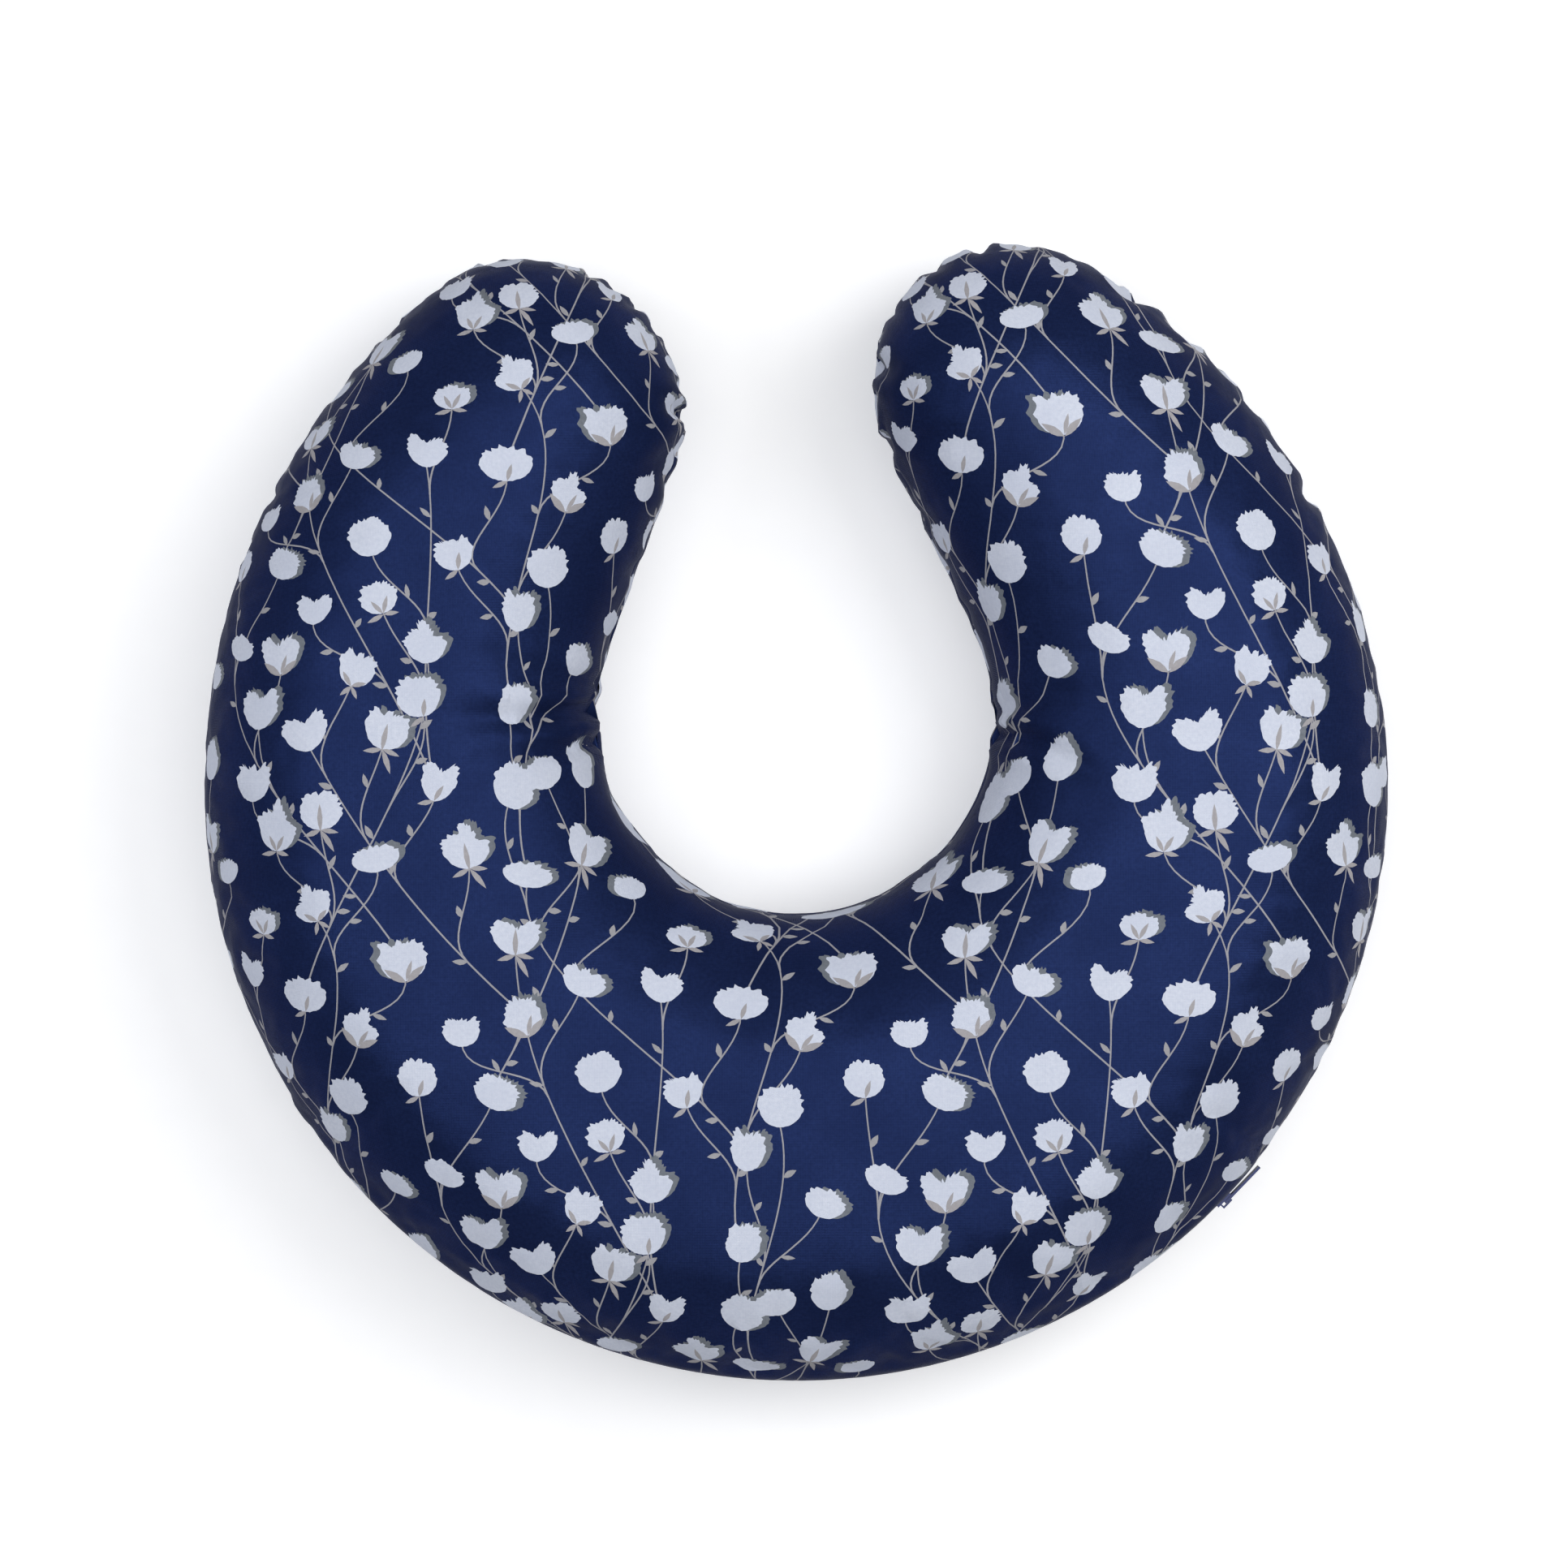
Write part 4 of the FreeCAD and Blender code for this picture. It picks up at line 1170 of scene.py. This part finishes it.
# %% [markdown]
# ## Thread
#
# The cover's seam is overlocked inside: a thread zigzags over the ends of the two seam allowances. Thread
# is modelled as thin tubes along lines. One function lays a tube along any line and closes its ends, and
# it stretches over many lines at once, so that a whole row of stitches is one mesh.

# %% Tubes for threads and coils
TUBE_SIDES = 6


def tube_mesh(lines, radius):
    """Points and faces of closed tubes along lines, each given with its outward way."""
    points, faces, start = [], [], 0
    side = np.arange(TUBE_SIDES)
    after = (side + 1) % TUBE_SIDES
    neighbours = list(zip(side.tolist(), after.tolist()))
    turn = side / TUBE_SIDES * 2 * math.pi
    for line, outward in lines:
        run = lengthwise(np.gradient(line, axis=0))
        across = lengthwise(np.cross(run, outward))
        up = np.cross(across, run)
        ring = (across[:, None] * np.cos(turn)[None, :, None]
                + up[:, None] * np.sin(turn)[None, :, None]) * radius
        count = len(line)
        points += [(line[:, None] + ring).reshape(-1, 3), line[:1], line[-1:]]
        base = start + np.arange(count - 1)[:, None] * TUBE_SIDES
        beyond = base + TUBE_SIDES
        quads = np.stack([base + side, base + after, beyond + after, beyond + side], -1)
        faces += quads.reshape(-1, 4).tolist()
        first, last = start + count * TUBE_SIDES, start + count * TUBE_SIDES + 1
        end = start + (count - 1) * TUBE_SIDES
        faces += [[first, start + following, start + here] for here, following in neighbours]
        faces += [[last, end + here, end + following] for here, following in neighbours]
        start += count * TUBE_SIDES + 2
    return np.concatenate(points), faces


def thread_object(name, lines, radius, material):
    """A smooth object of tubes along lines, with its flat places taken from the floor plan."""
    points, faces = tube_mesh(lines, radius)
    return soft_object(name, points, faces, points[:, :2], [material])


# %% [markdown]
# Sewing thread is polyester, spun or textured from fine fibres and dyed. It has a soft shine along each
# strand and a little fuzz. The strands lie about 0.15 mm apart and are drawn about twice as coarse.

# %% Thread and tape materials
POLYESTER_IOR = 1.58
STRAND_SPACING = 0.3


def spun(name, dye, worn_dye, roughness, spacing, relief):
    """Spun or woven polyester, with strands that run aslant and uneven dye."""
    material, shader = new_material(name)
    place = add_node(material, "ShaderNodeTexCoord").outputs["Object"]
    strands = add_node(material, "ShaderNodeTexWave", {"bands_direction": "DIAGONAL"}, Vector=place,
                       Scale=WAVE_PERIOD / (spacing * MM), Distortion=1.5, Detail=1.0)
    fuzz = add_node(material, "ShaderNodeTexNoise", Vector=place, Scale=1200.0, Detail=4.0, Roughness=0.7)
    tone = add_node(material, "ShaderNodeMath", {"operation": "MULTIPLY"}, i0=strands.outputs["Fac"],
                    i1=fuzz.outputs["Fac"])
    colour = add_node(material, "ShaderNodeMix", {"data_type": "RGBA"}, i0=tone.outputs[0], i6=linear(dye),
                      i7=linear(worn_dye))
    bump = add_node(material, "ShaderNodeBump", Strength=0.6, Distance=relief, Height=tone.outputs[0])
    gloss = add_node(material, "ShaderNodeMapRange", Value=fuzz.outputs["Fac"], i3=roughness - 0.08,
                     i4=roughness + 0.1)
    plug_in(material, shader, colour, gloss, bump)
    shader.inputs["IOR"].default_value = POLYESTER_IOR
    shader.inputs["Sheen Weight"].default_value = 0.05
    return material


navy_thread = spun("navy_polyester_thread", "131f4c", "22306a", 0.55, STRAND_SPACING, 0.0001)
white_thread = spun("white_polyester_thread", "d9d9d4", "efefec", 0.55, STRAND_SPACING, 0.0001)
navy_tape = spun("woven_polyester_zip_tape", "101a42", "1b2858", 0.62, 0.7, 0.00018)
label_tape = spun("woven_label_tape", "e6e4de", "f4f3ef", 0.6, 0.6, 0.00012)

# %% Overlocked seam of the cover
OVERLOCK_PITCH = 1.6
OVERLOCK_RADIUS = 0.22
SWINGS = [0, 1, 0, -1]
SHORTEST_RUN = 8


def zigzag(flat_edge, places, normals, inset, depth, height, keep):
    """The line of an overlock thread over the edge of the seam allowances, and its outward way."""
    steps = np.linalg.norm(places - np.roll(places, -1, axis=0), axis=1)
    along = np.concatenate([[0], np.cumsum(steps)])
    count = int(along[-1] / OVERLOCK_PITCH) * len(SWINGS)
    wanted = np.linspace(0, along[-1], count, endpoint=False)
    closed = [np.concatenate([table, table[:1]]) for table in (flat_edge, places, normals * [1, 1, 0])]
    flat, place, outwards = (np.column_stack([np.interp(wanted, along, column) for column in table.T])
                             for table in closed)
    outwards = lengthwise(outwards)
    swing = np.array(SWINGS * (count // len(SWINGS)))[:, None]
    line = place - outwards * (inset + depth * np.abs(swing - 0.5)) + np.array([0, 0, height]) * swing
    kept = keep(flat)
    pieces = np.split(np.arange(count), np.flatnonzero(np.diff(kept.astype(int))) + 1)
    return [(line[piece], outwards[piece]) for piece in pieces
            if kept[piece[0]] and len(piece) > SHORTEST_RUN]


def away_from_zip(flat):
    """Whether flat edge points are on the sewn part of the seam."""
    return slot_opening(flat) <= 0


seam_lines = zigzag(*seam_edge, inset=ALLOWANCE - 2.4, depth=1.6, height=0.9, keep=away_from_zip)
cover_thread = thread_object("cover_overlock_thread", seam_lines, OVERLOCK_RADIUS, navy_thread)
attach(cover_thread, "pillow")
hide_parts("cover_seam_thread")
print(f"cover overlock: {len(seam_lines)} runs")

# %% [markdown]
# ## The zip
#
# A nylon coil zip closes the cover along its base. Each side is one monofilament wound into a coil and sewn
# along a woven tape, and the coils mesh like two combs. The tapes lie behind the folded edges of the
# panels, where a row of lockstitches holds each of them. The coil is modelled as the real winding, a helix.

# %% Zip dimensions
ZIP_HALF = math.radians(50)
TAPE_HALF = math.radians(52.4)
COIL_HALF = math.radians(49.2)
TAPE_FACE = BASE_RADIUS - 0.9
TAPE_STEPS = 260
TAPE_WAVE = 0.03
WAVE_RATE = 260


def on_base(bearing, radius, height):
    """Points on the base arc; bearing 0 is the middle of the base and grows towards +X."""
    bearing, radius, height = np.broadcast_arrays(bearing, radius, height)
    return np.column_stack([np.sin(bearing) * radius, CENTRE[1] - np.cos(bearing) * radius,
                            SEAM_HEIGHT + height])


def base_outwards(bearing):
    """Outward unit vectors of the base arc."""
    return np.column_stack([np.sin(bearing), -np.cos(bearing), np.zeros_like(bearing)])


def swept(section, bearings, wave=0.0):
    """Points and faces of a closed section of (radius, height) pairs swept along the base arc."""
    count = len(section)
    rings = [on_base(bearing, section[:, 0] + wave * math.sin(bearing * WAVE_RATE), section[:, 1])
             for bearing in bearings]
    last = (len(bearings) - 1) * count
    faces = [[start + k, start + (k + 1) % count, start + count + (k + 1) % count, start + count + k]
             for start in range(0, last, count) for k in range(count)]
    faces += [list(range(count))[::-1], [last + k for k in range(count)]]
    return np.concatenate(rings), faces


# %% Zip tapes
def zip_tape(name, node, side):
    """One tape: a thin band with a thicker cord edge beside the coil."""
    # Heights from the seam, then how far the tape's front and back lie behind its face at each height.
    height = np.array([0.5, 0.9, 1.6, 2.4, 3.2, 7.0, 11.4, 12.2, 12.5])
    front = TAPE_FACE - np.array([0.3, 0.05, 0.05, 0.05, 0.2, 0.3, 0.3, 0.34, 0.5])
    back = TAPE_FACE - np.array([0.3, 0.6, 0.6, 0.6, 0.6, 0.7, 0.7, 0.66, 0.5])
    section = np.concatenate([np.column_stack([front, height * side]),
                              np.column_stack([back, height * side])[-2:0:-1]])
    points, faces = swept(section[::side], np.linspace(-TAPE_HALF, TAPE_HALF, TAPE_STEPS), TAPE_WAVE)
    tape = soft_object(name, points, faces, points[:, :2], [navy_tape])
    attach(tape, "pillow")
    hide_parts(node)
    print(f"{name}: {len(points)} points")


zip_tape("tape_upper", "zip_tape_upper", 1)
zip_tape("tape_lower", "zip_tape_lower", -1)

# %% [markdown]
# The coil is drawn nylon: smooth, slightly see-through in thin parts, and dyed through. It shines more than
# the cloth. Fine draw marks run along the strand.

# %% Nylon coils
MARK_DEPTH = 0.00002
COIL_PITCH = 1.3
COIL_POINTS = 9
COIL_SPAN = 1.996
COIL_OUT = 0.92
COIL_DEPTH = 0.62
COIL_MIDDLE = 1.12
COIL_REACH = 1.3
COIL_STRAND = 0.27


def moulded(name, dye, worn_dye, roughness, ior, metallic=0.0, marks=900.0):
    """A smooth hard finish with fine marks and slightly uneven gloss."""
    material, shader = new_material(name)
    place = add_node(material, "ShaderNodeTexCoord").outputs["Object"]
    wear = add_node(material, "ShaderNodeTexNoise", Vector=place, Scale=marks * 0.3, Detail=3.0)
    fine = add_node(material, "ShaderNodeTexNoise", Vector=place, Scale=marks * 2, Detail=2.0)
    colour = add_node(material, "ShaderNodeMix", {"data_type": "RGBA"}, i0=wear.outputs["Fac"],
                      i6=linear(dye), i7=linear(worn_dye))
    gloss = add_node(material, "ShaderNodeMapRange", Value=wear.outputs["Fac"], i3=roughness - 0.06,
                     i4=roughness + 0.1)
    bump = add_node(material, "ShaderNodeBump", Strength=0.3, Distance=MARK_DEPTH,
                    Height=fine.outputs["Fac"])
    plug_in(material, shader, colour, gloss, bump)
    shader.inputs["IOR"].default_value = ior
    shader.inputs["Metallic"].default_value = metallic
    return material


nylon = moulded("drawn_nylon_coil", "121d4a", "1d2b60", 0.3, 1.53)
zinc = moulded("lacquered_zinc_slider", "151f4a", "222f62", 0.28, 1.5, metallic=0.35, marks=700.0)
stop_zinc = moulded("crimped_zinc_stop", "8d9098", "a9acb3", 0.34, 1.5, metallic=1.0, marks=700.0)


def zip_coil(name, node, side):
    """One coil: a helix of monofilament, flattened, whose loops reach between those of the other."""
    turns = int(COIL_HALF * 2 * TAPE_FACE / COIL_PITCH)
    share = np.arange(turns * COIL_POINTS + 1) / COIL_POINTS
    phase = share * 2 * math.pi
    bearing = (share + (side < 0) * 0.5) / turns * COIL_HALF * COIL_SPAN - COIL_HALF
    radius = TAPE_FACE + COIL_OUT + COIL_DEPTH * np.sin(phase)
    line = on_base(bearing, radius, side * (COIL_MIDDLE + COIL_REACH * np.cos(phase)))
    coil = thread_object(name, [(line, base_outwards(bearing))], COIL_STRAND, nylon)
    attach(coil, "pillow")
    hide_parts(node)
    print(f"{name}: {turns} turns of {COIL_PITCH} mm")


zip_coil("coil_upper", "zip_coil_upper", 1)
zip_coil("coil_lower", "zip_coil_lower", -1)

# %% Lockstitches beside the zip
STITCH_LENGTH = 2.9
STITCH_STEP = 3.6
STITCH_FROM_EDGE = 2.3
STITCH_POINTS = 7
STITCH_LIFT = 0.16
STITCH_DIP = 0.5
STITCH_RADIUS = 0.24


def stitch_row(side):
    """Short tubes that lie on the folded edge of a panel and dip in at both ends."""
    count = int(ZIP_HALF * 2 * BASE_RADIUS / STITCH_STEP)
    starts = (np.arange(count) + 0.5) / count * ZIP_HALF * 2 - ZIP_HALF
    share = np.linspace(-0.5, 0.5, STITCH_POINTS)
    bearing = starts[:, None] + share[None] * STITCH_LENGTH / BASE_RADIUS
    radius = BASE_RADIUS + PATTERN_OUTSET - STITCH_FROM_EDGE
    flat = on_base(bearing.ravel(), radius, 0)[:, :2]
    places, normals = laid(flat, side)
    lift = STITCH_LIFT - STITCH_DIP * (2 * np.abs(share)) ** 4
    places = places + normals * np.tile(lift, count)[:, None]
    return list(zip(places.reshape(count, -1, 3), normals.reshape(count, -1, 3)))


stitches = stitch_row(1) + stitch_row(-1)
stitching = thread_object("zip_lockstitches", stitches, STITCH_RADIUS, navy_thread)
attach(stitching, "pillow")
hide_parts("zip_stitching")
print(f"{len(stitches)} lockstitches")

# %% [markdown]
# Past the end stops the two tapes are joined by a bar tack, a block of dense zigzag stitches. It closes the
# end of the slot.

# %% Bar tacks at both ends of the zip
TACK_HALF_HEIGHT = 5.6
TACK_PASSES = 9
TACK_STEP = math.radians(0.09)
TACK_POINTS = 8
TACK_PLACE = 1.016
TACK_OVER_TAPE = 0.15
TACK_STRAND = 0.27


def bar_tack(bearing):
    """The zigzag line of one bar tack."""
    share = np.arange(TACK_PASSES * TACK_POINTS + 1) / TACK_POINTS
    height = TACK_HALF_HEIGHT * (2 / math.pi) * np.arcsin(np.sin(share * math.pi))
    bearings = bearing + (share - TACK_PASSES / 2) * TACK_STEP
    return on_base(bearings, TAPE_FACE + TACK_OVER_TAPE, height), base_outwards(bearings)


tack_lines = [bar_tack(ZIP_HALF * sign * TACK_PLACE) for sign in (-1, 1)]
bar_tacks = thread_object("zip_bar_tacks", tack_lines, TACK_STRAND, navy_thread)
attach(bar_tacks, "pillow")

# %% [markdown]
# The slider, its pull tab and the end stops have the right shape in the CAD model, so they stay. The slider
# and the tab are die-cast zinc under navy lacquer, and the stops are bare zinc, crimped over the tape.

# %% Metal pieces of the zip
def finish_node(node, material):
    """Give a CAD node a new material."""
    for slot in bpy.data.objects[node].material_slots:
        slot.link = "OBJECT"
        slot.material = material
    print(f"{node}: {material.name}")


finish_node("zip_slider", zinc)
finish_node("zip_pull_tab", zinc)
finish_node("zip_top_stops", stop_zinc)
finish_node("zip_bottom_stop", stop_zinc)

# %% [markdown]
# ## The cushion inside
#
# The cover zips off a plain white cushion, whose two panels are stuffed with polyester fibre. Its shape is
# the cover's own, a little smaller: the settled net moves inwards, more at the seam, where there is room,
# and the slot of the zip is closed.

# %% Cushion panels and filling
LINER_DEPTH = 2.4
FILLING_DEPTH = 3.6
SEAM_EXTRA_DEPTH = 4.4
SEAM_REACH = 10.0

white_cotton = cotton("plain_white_cotton", "e4e2dc", "f1f0ec", 0.62, 0.0, spacing=0.9)


def inner_places(side, depth):
    """The net of one panel, moved inwards, with the zip's slot closed."""
    places, normals = CLOTH[side]
    inwards = depth + SEAM_EXTRA_DEPTH * np.exp(-net_gap / SEAM_REACH)
    moved = pressed(flat_points, side, places, normals) - normals * inwards[:, None]
    rise = (np.abs(moved[:, 2] - SEAM_HEIGHT) - net_slot) / (1 - net_slot / (THICKNESS / 2))
    moved[:, 2] = SEAM_HEIGHT + side * np.maximum(rise, 0)
    moved[:edge_count, 2] = SEAM_HEIGHT
    return moved


def liner_panel(name, node, side):
    """One panel of the inner cushion."""
    places = inner_places(side, LINER_DEPTH)
    panel = soft_object(name, places, net_faces[:, ::side], flat_points, [white_cotton])
    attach(panel, "pillow")
    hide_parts(node)
    print(f"{name}: {len(places)} points")
    return places


liner_top = liner_panel("liner_top", "cushion_top_panel", 1)
liner_panel("liner_bottom", "cushion_bottom_panel", -1)

# %% Fibre filling
def fibre_material():
    """Carded polyester fibre: white, matt and cloudy."""
    material, shader = new_material("carded_polyester_fibre")
    place = add_node(material, "ShaderNodeTexCoord").outputs["Object"]
    clouds = add_node(material, "ShaderNodeTexNoise", Vector=place, Scale=60.0, Detail=6.0, Roughness=0.7)
    strands = add_node(material, "ShaderNodeTexNoise", Vector=place, Scale=900.0, Detail=3.0, Distortion=2.0)
    colour = add_node(material, "ShaderNodeMix", {"data_type": "RGBA"}, i0=clouds.outputs["Fac"],
                      i6=linear("dcdcda"), i7=linear("f4f4f2"))
    bump = add_node(material, "ShaderNodeBump", Strength=0.7, Distance=0.001, Height=strands.outputs["Fac"])
    material.node_tree.links.new(colour.outputs[2], shader.inputs["Base Color"])
    material.node_tree.links.new(bump.outputs[0], shader.inputs["Normal"])
    shader.inputs["Roughness"].default_value = 0.9
    shader.inputs["IOR"].default_value = POLYESTER_IOR
    return material


inner_count = len(flat_points) - edge_count
closed_index = np.concatenate([np.arange(edge_count), len(flat_points) + np.arange(inner_count)])
filling_bottom = inner_places(-1, FILLING_DEPTH)[edge_count:]
filling_places = np.concatenate([inner_places(1, FILLING_DEPTH), filling_bottom])
filling_faces = np.concatenate([net_faces, closed_index[net_faces][:, ::-1]])
filling_flat = np.concatenate([flat_points, flat_points[edge_count:] * [-1, 1]])
filling = soft_object("loose_fibre", filling_places, filling_faces, filling_flat, [fibre_material()])
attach(filling, "pillow")
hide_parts("fibre_filling")
print(f"filling: {len(filling_places)} points")

# %% [markdown]
# The cushion's own seam is overlocked in white. The opening it was stuffed through, in the middle of the
# base, is closed with a slanted hand stitch. A blank folded label hangs from the seam on the left.

# %% Cushion seam, closing stitch and label
CLOSING_HALF = math.radians(8)
LABEL_BEARING = math.radians(-65)
LABEL_HALF = math.radians(4)
LABEL_DEPTH = 5.8
LABEL_STEPS = 40
# Radius and height of the folded tape's points, from the line where it is sewn in.
LABEL_PROFILE = np.array([(0.3, 1.4), (0.45, 0.4), (0.45, -6.0), (0.6, -12.6), (0.5, -13.8), (0.2, -14.0),
                          (0.0, -13.6), (0.1, -12.6), (0.0, -6.0), (0.0, 0.4)])


def at_opening(flat):
    """Whether flat edge points are on the hand-sewn opening."""
    return np.abs(base_bearing(flat)) < CLOSING_HALF


liner_edge = (flat_points[:edge_count], liner_top[:edge_count], settled_normals[:edge_count])
cushion_lines = zigzag(*liner_edge, inset=-0.9, depth=1.0, height=1.1, keep=lambda flat: ~at_opening(flat))
closing_lines = zigzag(*liner_edge, inset=-0.7, depth=0.8, height=1.4, keep=at_opening)
for name, node, lines in (("cushion_overlock_thread", "cushion_seam_thread", cushion_lines),
                          ("hand_closing_stitch", "cushion_closing_stitch", closing_lines)):
    thread = thread_object(name, lines, OVERLOCK_RADIUS, white_thread)
    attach(thread, "pillow")
    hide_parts(node)
    print(f"{name}: {len(lines)} runs")

label_bearings = np.linspace(LABEL_BEARING - LABEL_HALF, LABEL_BEARING + LABEL_HALF, LABEL_STEPS)
label_points, label_faces = swept(LABEL_PROFILE + [BASE_RADIUS - LABEL_DEPTH, 0], label_bearings)
label = soft_object("blank_label", label_points, label_faces, label_points[:, :2], [label_tape])
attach(label, "pillow")
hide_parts("cushion_label")
print(f"label: {len(label_points)} points")
